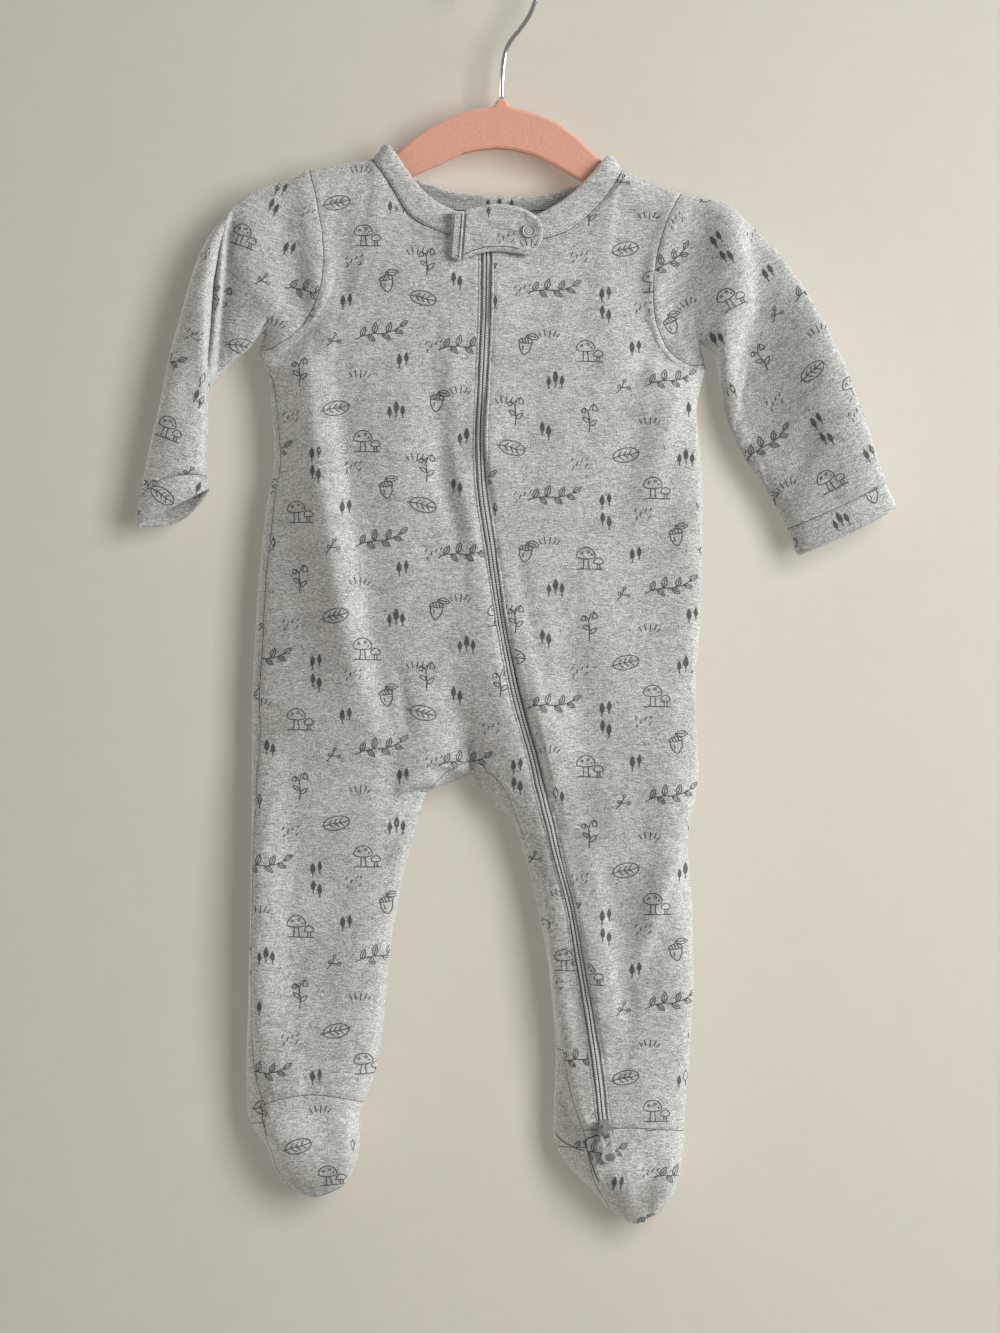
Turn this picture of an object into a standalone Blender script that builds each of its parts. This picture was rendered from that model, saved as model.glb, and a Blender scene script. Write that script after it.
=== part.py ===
"""Footed baby sleeper with a diagonal zip, hanging on a child's hanger.

Tables are in millimetres. x runs to the viewer's right, y to the back, z up. The origin is the
inside top of the hanger's hook, where a rail or a nail carries it.
"Right" and "left" in names are the wearer's, so right pieces have negative x.

The suit is worked out as one continuous surface of named faces. Each panel is then cut out of
that surface along its seams and given the thickness of the cloth.
"""
import math
from collections import namedtuple

import bmesh
import bpy
import numpy as np
from mathutils import Matrix, Vector
from mathutils.bvhtree import BVHTree

MM = 0.001
WALL = 1.6              # thickness of one layer of cloth
BAND_WALL = 2.6         # the neckband and cuffs are folded double
SEAM_GAP = 0.40         # clearance between two sewn panels
BAND_GAP = 0.60
COLLECTION = "footed_sleeper"

# ---------------------------------------------------------------- columns of the body's surface
# Stops across the front, from the wearer's right side (0) to the left side (20).
SIDE_SEAM = 1
MID = 8                 # meets the crotch
ZIP_RIGHT = 11          # edge of the front right panel
ZIP_LEFT = 12           # edge of the front left panel
LAST = 20
ZIP_WIDTH = 6.2
ZIP_SINK = 0.4          # the tape lies a little behind the panels

# Shares of the way between two named stops, for the columns that lie between them.
TORSO_RIGHT = (0, .07, .19, .34, .51, .68, .84, 1)            # SIDE_SEAM to MID
LEG_RIGHT = (0, .10, .26, .44, .62, .79, .93, 1)
MID_TO_ZIP = (0, .33, .66, 1)
LEG_MID_TO_ZIP = (0, .22, .58, 1)
ZIP_TO_SIDE = (0, .14, .29, .44, .59, .73, .86, .96, 1)       # ZIP_LEFT to LAST
BACK_RIGHT = (0, .045, .14, .26, .39, .53, .68, .84, 1)       # 0 to MID
BACK_LEG_RIGHT = (0, .04, .13, .27, .44, .62, .80, .94, 1)
BACK_LEFT = (0, .09, .18, .27, .36, .45, .54, .63, .72, .81, .90, .97, 1)   # MID to LAST
BACK_LEG_LEFT = (0, .04, .12, .21, .30, .40, .50, .60, .70, .79, .88, .96, 1)

# ---------------------------------------------------------------- sections of the torso
# One row for each level. front and back are the greatest depths on each side of y = 0, inset is
# how far the side seam lies inside the right edge, split is how far the section has parted into
# two legs (1 where front and back meet in the crotch), and sweep shapes the level's height
# between its ends and MID: under 1 it drops close to the ends, over 1 close to MID.
Level = namedtuple("Level",
                   "right_x right_z mid_x mid_z left_x left_z front back inset split sweep")
TORSO = (
    Level(-147.6, -239.4, -52.2, -256.0, 122.4, -247.8, 17, 14, 3.0, 0, .30),
    Level(-141.0, -252.6, -52.2, -263.0, 121.2, -257.4, 17.6, 14, 3.0, 0, .40),
    Level(-139.2, -269.4, -51.0, -273.0, 117.6, -272.4, 18.2, 14, 4.2, 0, .60),
    Level(-138.0, -287.4, -49.8, -288.0, 118.2, -288.6, 18.8, 14, 5.0, 0, 1),
    Level(-137.4, -308.4, -48.6, -308.4, 120.6, -308.4, 19.4, 14.2, 5.0, 0, 1),
    Level(-141.6, -329.4, -46.8, -329.4, 121.0, -329.4, 19.8, 14.6, 5.0, 0, 1),
    Level(-144.6, -356.4, -43.8, -356.4, 120.3, -356.4, 20, 15, 5.0, 0, 1),
    Level(-147.6, -389.4, -40.2, -389.4, 119.1, -389.4, 19.8, 15.6, 5.0, 0, 1),
    Level(-149.4, -422.4, -35.4, -421.8, 117.6, -422.4, 19.2, 16.2, 5.0, .04, 2),
    Level(-150.6, -449.4, -30.0, -447.4, 117.0, -449.4, 18.4, 16.6, 5.0, .14, 2),
    Level(-150.8, -474.0, -23.0, -468.0, 116.2, -476.0, 17.6, 16.9, 5.0, .34, 2),
    Level(-150.8, -490.0, -18.6, -486.0, 115.2, -493.0, 17, 17, 5.0, .62, 2),
    Level(-150.8, -500.0, -18.6, -494.4, 114.6, -504.0, 16.6, 17, 5.0, 1, 2),
)

# ---------------------------------------------------------------- sections of the legs
# outer and inner are the two edges seen from the front; lift raises the middle of the row.
Ring = namedtuple("Ring", "outer_x outer_z inner_x inner_z front back inset front_lift back_lift")
RIGHT_LEG = (
    Ring(-150.8, -508.0, -28.2, -498.0, 16.3, 16.8, 5.0, 0, 0),
    Ring(-150.8, -517.0, -36.6, -501.3, 16.0, 16.5, 4.8, 0, 0),
    Ring(-151.0, -527.0, -45.0, -505.0, 15.7, 16.2, 4.5, 0, 0),
    Ring(-150.9, -540.0, -49.2, -520.2, 15.4, 15.9, 4.2, 0, 0),
    Ring(-151.2, -557.4, -57.6, -546.6, 15.2, 15.5, 4.0, 0, 0),
    Ring(-151.5, -578.4, -61.8, -569.4, 15, 15.2, 4.0, 0, 0),
    Ring(-152.4, -602.4, -66.6, -598.2, 15, 15, 4.0, 0, 0),
    Ring(-153.0, -629.4, -69.0, -625.2, 15, 15, 4.0, 0, 0),
    Ring(-153.6, -653.4, -71.4, -647.4, 15, 15.2, 4.0, 2, 0),
    Ring(-154.2, -678.0, -75.0, -671.4, 15.2, 16.2, 6.0, 5, 0),
    Ring(-153.2, -697.0, -83.4, -692.0, 15.8, 19, 11.0, 9, 0),
)
RIGHT_FOOT = (
    Ring(-151.2, -704.5, -85.4, -700.5, 17, 24, 9.6, 4.5, -1),
    Ring(-146.4, -712.5, -85.5, -708.0, 19, 27, 5.2, 1, -3),
    Ring(-140.4, -720.5, -85.8, -717.0, 19, 24, 2.2, 0, -3),
    Ring(-137.4, -731.0, -88.0, -730.0, 16, 18, 2.0, 0, -1),
    Ring(-130.0, -742.0, -94.4, -740.6, 9, 10, 1.8, 0, 0),
)
RIGHT_TOE_DROP = 7.4    # how far the toe seam hangs below the last row, in the middle

LEFT_LEG = (
    Ring(114.0, -512.0, -14.4, -501.0, 16.3, 16.8, 5.0, 0, 0),
    Ring(113.1, -520.0, -9.0, -508.2, 16.1, 16.6, 5.0, 0, 0),
    Ring(112.2, -528.0, -3.0, -514.2, 15.9, 16.3, 5.0, 0, 0),
    Ring(111.6, -536.5, 5.4, -520.5, 15.7, 16, 4.0, 0, 0),
    Ring(112.8, -548.0, 10.2, -532.0, 15.5, 15.7, 4.0, 0, 0),
    Ring(114.0, -561.0, 15.6, -550.8, 15.2, 15.4, 4.0, 0, 0),
    Ring(114.6, -579.0, 21.0, -574.2, 15, 15.2, 4.0, 0, 0),
    Ring(114.6, -603.6, 27.0, -603.6, 15, 15, 4.0, 0, 0),
    Ring(114.0, -632.4, 30.0, -630.6, 15, 15, 4.0, 0, 0),
    Ring(113.1, -657.4, 32.4, -659.4, 15, 15.4, 5.0, 0, 0),
    Ring(111.3, -684.0, 31.8, -686.0, 15.2, 17, 9.0, 0, 0),
    Ring(109.8, -709.0, 32.0, -710.5, 15.8, 20, 17.0, 4.6, 1),
)
LEFT_FOOT = (
    Ring(110.2, -716.0, 33.6, -718.5, 17, 25, 17.6, 1.5, -1),
    Ring(109.0, -724.0, 37.0, -725.5, 19, 27, 16.0, 0, -2),
    Ring(107.6, -733.0, 43.0, -734.0, 19, 24, 11.6, 0, -2),
    Ring(104.6, -743.5, 52.4, -742.5, 16, 18, 5.4, 0, -1),
    Ring(99.0, -753.5, 60.6, -751.5, 9, 10, 2.2, 0, 0),
)
LEFT_TOE_DROP = 12.6

# Seam between front and back beneath the crotch: (x, z) of the columns on each side of MID.
Stop = namedtuple("Stop", "column x z")
CROTCH_STOPS = {
    ("torso", 11): (Stop(7, -25.2, -488.7), Stop(9, -11.4, -489.4)),
    ("torso", 12): (Stop(7, -31.2, -491.4), Stop(9, -4.8, -494.4)),
    ("right_leg", 0): (Stop(7, -37.2, -496.4),),
    ("right_leg", 1): (Stop(7, -43.2, -502.0),),
    ("right_leg", 2): (Stop(7, -48.6, -503.8),),
    ("left_leg", 0): (Stop(9, 0.2, -499.4),),
    ("left_leg", 1): (Stop(9, 4.4, -505.8),),
    ("left_leg", 2): (Stop(9, 6.6, -512.4),),
    ("left_leg", 3): (Stop(9, 9.6, -520.6),),
}
RIGHT_SEAM_MEETS_EDGE = 2      # row of the right leg where the seam reaches the inner edge
LEFT_SEAM_MEETS_EDGE = 4

# ---------------------------------------------------------------- zip line, armholes and neckline
Spot = namedtuple("Spot", "x z")


def spots(*pairs):
    return tuple(Spot(*pair) for pair in pairs)


ZIP_LINE = spots((-10.8, -158.4), (-9.4, -184), (-9.8, -220), (-11.6, -260), (-13.4, -294),
                 (-12, -324), (-9, -346), (-5.4, -365), (-.6, -402), (8.2, -446), (19.2, -485),
                 (31.8, -541), (42, -577), (48.3, -614), (54.6, -652), (60, -694), (61.2, -712))
ARMHOLE_RIGHT = spots((-147.6, -239.4), (-134.4, -238.8), (-125.1, -231.6), (-115.8, -221.4),
                      (-109.4, -207), (-107, -190.2), (-108, -171), (-111, -150.6),
                      (-116.4, -130.2))
ARMHOLE_LEFT = spots((122.4, -247.8), (108.6, -249), (99.6, -240), (92.4, -227.1),
                     (90.4, -209.4), (91.8, -190.2), (95.7, -172.2), (101.4, -156.6),
                     (108.6, -144.3))
SHOULDER_RIGHT = spots((-116.4, -130.2), (-100.2, -127.2), (-90, -125.1), (-79.2, -123.6))
SHOULDER_LEFT = spots((73.2, -130.2), (82.8, -134.7), (95, -139.8), (108.6, -144.3))
NECK_SEAM_FRONT = spots((-79.2, -123.6), (-68.1, -138.6), (-58.2, -156), (-45.9, -165.6),
                        (-30.6, -171), (-19.2, -173.1), (-9, -174), (10.8, -175.2), (25.8, -174),
                        (38.4, -169), (52.8, -158.4), (64, -145.2), (73.2, -130.2))
NECK_EDGE_FRONT = spots((-70.8, -114.3), (-65.4, -118.8), (-55.2, -134.4), (-45.9, -146.4),
                        (-30, -155.7), (-19.2, -158.4), (-9, -160), (7.8, -161), (16.8, -160),
                        (24.6, -157.2), (31.8, -153), (42.6, -145.2), (54.6, -134.4),
                        (60, -125.7), (66, -121.2))
NECK_SEAM_BACK = spots((-79.2, -123.6), (-70.2, -135), (-58.2, -144.6), (-42.6, -150.6),
                       (-23.7, -155.1), (-1.2, -157.2), (20.4, -157.2), (38.4, -154.2),
                       (52.8, -148.2), (63.6, -139.8), (73.2, -130.2))
NECK_EDGE_BACK = spots((-70.8, -114.3), (-64.2, -124.2), (-48.6, -136.8), (-28.2, -142.2),
                       (-8.4, -145.2), (20.4, -145.2), (46.2, -138.6), (58.8, -130.2),
                       (66, -121.2))
NECK_POINT_RIGHT = 3    # columns where the shoulder seams meet the neckband
NECK_POINT_LEFT = 17
NECK_FIRST_STEP = .066  # share of a half neck line that folds over the hanger
NECK_FOLD_DEPTH = 6.4
BAND_ROWS = 2

# Shares of the way up from the underarm to the shoulder; the sleeves use the same ones.
RISE = (0, .07, .20, .36, .53, .70, .86, .965, 1)
TOP = len(RISE) - 1
ARMHOLE_REACH = 7       # columns over which the body's rows bend to the armholes
FOLD_DEPTH = 5.0        # half-depth of the cloth just below the fold over the hanger
ARMHOLE_DEPTH = 9.0
CHEST_DEPTH_FRONT = 14.0
CHEST_DEPTH_BACK = 11.0
NECK_DEPTH_FRONT = 11.0
NECK_DEPTH_BACK = 7.0

# ---------------------------------------------------------------- sections of the sleeves
# shoulder and under are the upper and lower edge seen from the front. bow curves the section
# towards the body as the armhole does; lean slides its middle sideways.
Arm = namedtuple("Arm", "shoulder_x shoulder_z under_x under_z front back bow front_lift back_lift")
RIGHT_SLEEVE = (
    Arm(-124.0, -134.4, -142.8, -228.4, 9, 9, 18, 0, 0),
    Arm(-133.2, -137.4, -149.2, -234.6, 9, 9, 12, 0, 0),
    Arm(-144.0, -140.4, -157.0, -241.8, 8, 9, 7, 0, 0),
    Arm(-154.2, -145.8, -165.4, -248.8, 7, 10, 3, 0, 0),
    Arm(-162.6, -153.4, -172.4, -257.6, 6, 11, 0, 0, 0),
    Arm(-166.6, -157.4, -175.0, -261.6, 15, 12, 2, 0, 0),
    Arm(-177.0, -171.0, -176.6, -265.0, 16, 12, 0, 0, 0),
    Arm(-186.0, -191.4, -177.0, -269.4, 16, 11, 0, 0, 0),
    Arm(-193.8, -218.4, -176.4, -275.4, 15, 9, 0, 0, 0),
    Arm(-201.6, -247.2, -176.4, -284.0, 14, 8, 0, 0, 0),
    Arm(-206.4, -272.4, -177.2, -296.0, 13, 8, 0, 0, 0),
    Arm(-213.0, -299.4, -177.9, -307.6, 12, 8, 0, 2, 0),
    Arm(-217.8, -328.0, -177.6, -314.6, 10, 8, 0, 6, 0),
)
RIGHT_CUFF = (
    Arm(-220.0, -337.0, -176.4, -319.0, 10, 9, 0, 3, -5),
    Arm(-220.8, -344.2, -176.0, -322.6, 9, 9, 0, 0, -8),
)
LEFT_SLEEVE = (
    Arm(114.4, -145.8, 118.2, -235.8, 9, 9, 17, 0, 0),
    Arm(121.8, -147.9, 124.2, -238.6, 10, 9, 11, 0, 0),
    Arm(131.4, -150.5, 128.4, -243.4, 12, 9, 6, 0, 0),
    Arm(142.8, -157.2, 130.5, -250.4, 14, 9, 3, 0, 0),
    Arm(153.6, -166.8, 131.2, -259.0, 14, 10, 1, 0, 0),
    Arm(165.0, -180.0, 132.4, -267.6, 11, 12, 0, 0, 0),
    Arm(177.0, -198.0, 134.8, -277.0, 9, 13, 0, 0, 0),
    Arm(187.8, -219.0, 138.2, -288.0, 8, 13, 0, 0, 0),
    Arm(199.8, -244.2, 143.8, -300.0, 8, 12, 0, 0, 0),
    Arm(210.6, -271.8, 151.8, -312.4, 8, 11, 0, 0, 0),
    Arm(220.8, -297.0, 161.0, -326.0, 9, 11, 0, 0, 0),
    Arm(231.0, -318.6, 172.0, -347.0, 9, 10, 0, -1.5, 0),
)
LEFT_CUFF = (
    Arm(235.0, -326.0, 174.6, -355.0, 9, 10, 0, -1.5, 0),
    Arm(238.0, -332.8, 178.0, -362.0, 9, 10, 0, -1.5, 1.5),
)

# ---------------------------------------------------------------- folds
# Each is a soft ridge (or a trough where height is negative) along a bent line.
Fold = namedtuple("Fold", "side x0 z0 x1 z1 bend height width")
FOLDS = (
    Fold("front", -110, -238, -62, -480, -12, 3.4, 13),
    Fold("front", -126, -262, -80, -470, -12, -3.0, 11),
    Fold("front", -36, -262, -26, -350, 0, -2.6, 7),
    Fold("front", 12, -364, 36, -486, -4, 2.6, 8),
    Fold("front", 26, -372, 48, -470, -4, -2.2, 8),
    Fold("front", -64, -440, -66, -505, 0, -3.2, 7),
    Fold("front", -48, -504, -72, -548, 0, 3.0, 7),
    Fold("front", -62, -560, -80, -590, 2, -2.8, 7),
    Fold("front", 104, -500, 94, -600, 6, 2.6, 8),
    Fold("front", 108, -270, 110, -350, 2, -2.4, 8),
    Fold("front", 62, -400, 66, -520, 6, 2.0, 10),
    Fold("front", -120, -560, -116, -660, 4, 2.0, 10),
    Fold("front", 84, -590, 80, -680, -4, -2.0, 9),
    Fold("back", -96, -225, -70, -440, 10, 3.0, 14),
    Fold("back", -30, -200, -40, -420, -8, -2.6, 12),
    Fold("back", 48, -215, 60, -430, -8, 3.0, 13),
    Fold("back", 92, -265, 88, -360, 5, -2.6, 9),
    Fold("back", -58, -452, -84, -520, 4, 3.0, 9),
    Fold("back", 20, -460, 44, -530, -4, 3.0, 9),
    Fold("back", -112, -540, -108, -650, 5, 2.2, 10),
    Fold("back", 76, -560, 72, -668, -5, -2.4, 10),
)

# ---------------------------------------------------------------- hanger
HANGER_THICKNESS = 5.0
HANGER_EDGE_ROUND = 1.8
# The upper edge runs under the shoulder folds and out of the neck, with the nub of the hook.
HANGER_TOP = spots((-157.0, -153), (-154.2, -150), (-144, -144.6), (-133.2, -141.4), (-124, -138.4),
                   (-116.4, -134.9), (-100.2, -131.9), (-90, -131.1), (-82, -131.2),
                   (-76, -129.2), (-70.2, -125), (-63.6, -119.8), (-54.6, -112.2),
                   (-45.6, -105.6), (-36.6, -100.6), (-26, -96.4), (-16, -93.6), (-8.2, -92.6),
                   (-5.4, -91.6), (-4, -89.4), (-3.1, -87.4), (2.5, -87.4), (3.4, -89.4),
                   (4.8, -91.6), (7.6, -92.8), (14, -94.2), (24, -97.2), (34, -101.8),
                   (46.2, -111), (54, -118.6), (60, -124.8), (66, -130.8), (73.2, -137.4),
                   (82.8, -141.2), (95, -144.8), (108.6, -149), (114.4, -151), (121.8, -153.4),
                   (131.4, -156.6), (142.8, -162.4), (149.6, -169.4))
HANGER_BOTTOM = spots((138, -181), (112, -171), (88, -162), (66, -150), (50.8, -139.2),
                      (40, -132.6), (30, -127), (18.6, -121.4), (6, -118.2), (-4.2, -117.4),
                      (-14, -118.4), (-24, -120.6), (-36.6, -126.8), (-54.8, -134.6),
                      (-76, -146.6), (-100, -157), (-124, -163), (-146, -168.6))
HANGER_TIP_RIGHT = spots((-154, -168), (-158, -162.4), (-158.4, -156.4))
HANGER_TIP_LEFT = spots((150.6, -175), (147.6, -180.6), (143, -182.2))
WIRE_RADIUS = 1.6
HOOK_BOTTOM = -87.0
HOOK_RADIUS = 20.0
HOOK_CENTRE = Spot(.2, -20.0)
HOOK_STEM = spots((-.3, HOOK_BOTTOM), (0, -74), (.9, -64), (2.2, -57.4), (5.4, -51.6),
                  (10, -46.3), (14.4, -40.6), (17.8, -34.6))
HOOK_START_ANGLE = -25  # degrees, counter-clockwise from +x
HOOK_END_ANGLE = 196    # where the open end of the hook is
HOOK_STEPS = 20

# ---------------------------------------------------------------- small pieces
TAB_TOP = spots((-22.0, -156.9), (-15.6, -155.4), (-7.2, -153.2), (1, -153.2), (8, -154.4),
                (14, -156.4), (19, -159.2), (22.6, -163), (24.4, -167.4))
TAB_BOTTOM = spots((-24.2, -185.6), (-18.6, -183.2), (-10.2, -180.8), (-3, -180.4),
                   (4, -180.8), (10.6, -182), (16, -182.6), (20.6, -179.6), (23.8, -174))
STRIP_TOP = spots((-29.8, -156.8), (-22.5, -156.9))
STRIP_BOTTOM = spots((-30.4, -184.4), (-24.7, -186.8))
TAB_WALL = 2.4
TAB_ROWS = 5
REST_GAP = 0.45         # between a piece and the cloth it lies on
TAB_LIFT = 0.2          # the tab lies a little higher than its strip
STRIP_EXTRA = 0.6       # the strip is folded, so it is thicker than the tab
STUD = Spot(16.2, -168.9)
STUD_GAP = 0.35         # between the stud's cap and the tab
STUD_SIDES = 24
STUD_DISH = 0.65        # height of the cap's middle
STUD_PROFILE = ((2.1, .65), (3.2, .56), (3.5, 1.0), (3.8, 1.1), (4.2, .7), (4.2, 0))  # radius, height
SLIDER = dict(x=60.9, top_z=-700.0, height=3.0, lean=6.0)
SLIDER_SIDE = ((2.8, 0), (3.1, 2.6), (4.8, 6.2), (4.5, 9.6), (3.4, 10.4))     # half width, drop
SLIDER_RESTS_ON = tuple((x, drop) for x in (-4, 0, 4) for drop in (0, 5, 10))
# The loop is an arch of flat wire: drop below the slider's top, and rise above its face.
LOOP_WIDTH = 2.2
LOOP_WIRE = 1.1
LOOP_LOW = 8.8          # drop of its lower end
LOOP_ARCH = ((2.2, -.6), (2.2, 2.16), (3.4, 3.6), (7.6, 3.6), (8.8, 2.16), (8.8, -.6),
             (7.7, -.6), (7.7, 1.8), (7.1, 2.5), (3.9, 2.5), (3.3, 1.8), (3.3, -.6))
PULL = dict(length=19.4, thickness=1.3, bar=1.2, lift=1.4, lean=8.0, edge_round=.3)
PULL_SIDE = ((3.0, 0), (3.8, .8), (3.6, 6), (3.2, 10), (3.5, 12.5))           # half width, drop
PULL_FOOT = dict(radius=4.7, start=18, end=-198, count=10)
PULL_SLOT = dict(half_width=1.8, length=8.0, corner=.6)


# ================================================================ helpers for curves and sections
def along(points, share):
    """Point at a share of the length of a line through the given spots."""
    steps = [math.dist(a, b) for a, b in zip(points, points[1:])]
    target = share * sum(steps)
    for a, b, step in zip(points, points[1:], steps):
        if target <= step or b is points[-1]:
            t = min(target / step, 1)
            return Spot(a.x + (b.x - a.x) * t, a.z + (b.z - a.z) * t)
        target -= step


def height_at(points, x):
    """z of a line of spots at x; the line runs from small x to large x."""
    return float(np.interp(x, [p.x for p in points], [p.z for p in points]))


def zip_x(z):
    return float(np.interp(-z, [-p.z for p in ZIP_LINE], [p.x for p in ZIP_LINE]))


def mix(a, b, t):
    return a + (b - a) * t


def crown(share, power=3.0):
    """Depth profile of a flattened tube: 0 at its edges, 1 in the middle, with round sides."""
    return math.sqrt(max(0, 1 - abs(2 * share - 1) ** power))


def fold_height(side, x, z):
    """Sum of the folds at a point of the front or the back."""
    total = 0
    for fold in FOLDS:
        if fold.side != side:
            continue
        run = np.array((fold.x1 - fold.x0, fold.z1 - fold.z0))
        length = np.linalg.norm(run)
        direction = run / length
        rel = np.array((x - fold.x0, z - fold.z0))
        share = rel @ direction / length
        if not -.1 < share < 1.1:
            continue
        middle = fold.bend * math.sin(math.pi * min(max(share, 0), 1))
        across = rel @ np.array((-direction[1], direction[0])) - middle
        fade = math.sin(math.pi * (share + .1) / 1.2) ** .7
        total += fold.height * fade * math.exp(-(across / fold.width) ** 2)
    return total


# ================================================================ the suit's surface
class Surface:
    """Shared points and named faces of the whole suit."""

    def __init__(self):
        self.points = []
        self.index = {}
        self.faces = []
        self.names = []

    def point(self, place):
        key = tuple(round(float(c), 2) for c in place)
        if key not in self.index:
            self.index[key] = len(self.points)
            self.points.append([float(c) for c in place])
        return self.index[key]

    def face(self, name, corners):
        loop = []
        for corner in (self.point(c) for c in corners):
            if corner not in loop:
                loop.append(corner)
        if len(loop) > 2:
            self.faces.append(loop)
            self.names.append(name)

    def grid(self, rows, name_of, outward_flip=False):
        """Faces between rows of points; name_of(row, column) names the panel, or None."""
        for r, (upper, lower) in enumerate(zip(rows, rows[1:])):
            for c in range(len(upper) - 1):
                name = name_of(r, c)
                if name is None:
                    continue
                corners = [upper[c], lower[c], lower[c + 1], upper[c + 1]]
                if outward_flip:
                    corners.reverse()
                self.face(name, corners)


def shares_between(names, start, end):
    return [mix(start, end, t) for t in names]


def blend_shares(a, b, t):
    return [mix(p, q, t) for p, q in zip(a, b)]


def front_stops(right, seam, mid, zip_middle, left, split):
    """x of the 21 front columns."""
    to_mid = blend_shares(TORSO_RIGHT, LEG_RIGHT, split)
    to_zip = blend_shares(MID_TO_ZIP, LEG_MID_TO_ZIP, split)
    xs = [right] + shares_between(to_mid, seam, mid)
    xs += shares_between(to_zip, mid, zip_middle - ZIP_WIDTH / 2)[1:]
    xs += shares_between(ZIP_TO_SIDE, zip_middle + ZIP_WIDTH / 2, left)
    return xs


def back_stops(right, mid, left, split):
    to_mid = blend_shares(BACK_RIGHT, BACK_LEG_RIGHT, split)
    to_left = blend_shares(BACK_LEFT, BACK_LEG_LEFT, split)
    return shares_between(to_mid, right, mid) + shares_between(to_left, mid, left)[1:]


def level_height(level, x):
    """z of a level at x: its ends and MID are given, and it curves between them."""
    if x <= level.mid_x:
        share = (x - level.right_x) / (level.mid_x - level.right_x)
        return mix(level.right_z, level.mid_z, max(0, share) ** level.sweep)
    share = (level.left_x - x) / (level.left_x - level.mid_x)
    return mix(level.left_z, level.mid_z, max(0, share) ** level.sweep)


def torso_row(number, level, side, folded=True):
    """21 points across the front or back at one level."""
    zip_middle = zip_x(level.mid_z)
    for _ in range(3):
        zip_middle = zip_x(level_height(level, zip_middle))
    if side == "front":
        seam = level.right_x + level.inset
        xs = front_stops(level.right_x, seam, level.mid_x, zip_middle, level.left_x, level.split)
    else:
        xs = back_stops(level.right_x, level.mid_x, level.left_x, level.split)
    depth = level.front if side == "front" else level.back
    sign = -1 if side == "front" else 1
    stops = {s.column: s for s in CROTCH_STOPS.get(("torso", number), ())} if side == "front" else {}
    row = []
    for column, x in enumerate(xs):
        z = level_height(level, x)
        if column in stops:
            x, z = stops[column].x, stops[column].z
        whole = crown((x - level.right_x) / (level.left_x - level.right_x))
        if x < level.mid_x:
            leg = crown((x - level.right_x) / (level.mid_x - level.right_x))
        else:
            leg = crown((x - level.mid_x) / (level.left_x - level.mid_x))
        profile = mix(whole, leg, level.split)
        y = depth * profile
        if folded:
            y += fold_height(side, x, z) * min(1, profile * 1.4) ** 2
        row.append((x, sign * y, z))
    return row


def leg_row(leg, number, ring, side, foot=False):
    """Points across one leg: columns 0 to MID on the right leg, MID to LAST on the left."""
    right_leg = leg == "right_leg"
    if side == "front":
        if right_leg:
            xs = [ring.outer_x]
            xs += shares_between(LEG_RIGHT, ring.outer_x + ring.inset, ring.inner_x)
        elif foot:
            xs = [ring.inner_x]
            xs += shares_between([i / 10 for i in range(11)], ring.inner_x + ring.inset,
                                 ring.outer_x - 1.6)
            xs += [ring.outer_x]
        else:
            zip_middle = zip_x(mix(ring.inner_z, ring.outer_z, .4))
            to_zip = list(LEG_MID_TO_ZIP)
            to_zip[1] = ring.inset / (zip_middle - ZIP_WIDTH / 2 - ring.inner_x)
            to_zip[2] = mix(to_zip[1], 1, .5)
            xs = shares_between(to_zip, ring.inner_x, zip_middle - ZIP_WIDTH / 2)
            xs += shares_between(ZIP_TO_SIDE, zip_middle + ZIP_WIDTH / 2, ring.outer_x)
    else:
        if right_leg:
            xs = shares_between(BACK_LEG_RIGHT, ring.outer_x, ring.inner_x)
        else:
            xs = shares_between(BACK_LEG_LEFT, ring.inner_x, ring.outer_x)
    first = 0 if right_leg else MID
    start_x, start_z = (ring.outer_x, ring.outer_z) if right_leg else (ring.inner_x, ring.inner_z)
    end_x, end_z = (ring.inner_x, ring.inner_z) if right_leg else (ring.outer_x, ring.outer_z)
    depth = ring.front if side == "front" else ring.back
    lift = ring.front_lift if side == "front" else ring.back_lift
    sign = -1 if side == "front" else 1
    key = (leg, number)
    stops = {} if foot or side == "back" else {s.column: s for s in CROTCH_STOPS.get(key, ())}
    row = []
    for offset, x in enumerate(xs):
        share = (x - start_x) / (end_x - start_x)
        z = mix(start_z, end_z, share) + lift * math.sin(math.pi * share) ** .8
        if first + offset in stops:
            stop = stops[first + offset]
            x, z = stop.x, stop.z
            share = (x - start_x) / (end_x - start_x)
        profile = crown(min(max(share, 0), 1))
        fold = 0 if foot else fold_height(side, x, z)
        row.append((x, sign * (depth * profile + fold * min(1, profile * 1.4) ** 2), z))
    return row


def toe_row(row, drop):
    """The toe seam: the last row let down in an arc, with no depth."""
    last = len(row) - 1
    shrink = .62
    middle = (row[0][0] + row[last][0]) / 2
    toe = []
    for column, (x, y, z) in enumerate(row):
        share = (x - row[0][0]) / (row[last][0] - row[0][0])
        arc = math.sin(math.pi * share) ** .7
        toe.append((mix(middle, x, 1 - (1 - shrink) * arc), 0.0, z - 1 - drop * arc))
    toe[0] = row[0]
    toe[last] = row[last]
    return toe


def armhole_curve(spots_of_curve, side):
    """Seam between body and sleeve, from the underarm up to the shoulder point."""
    sign = -1 if side == "front" else 1
    curve = []
    for rise in RISE:
        spot = along(spots_of_curve, rise)
        depth = ARMHOLE_DEPTH * crown(rise, 2.6)
        if 0 < rise < 1:
            depth = max(depth, FOLD_DEPTH)
        curve.append((spot.x, sign * depth, spot.z))
    return curve


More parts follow.
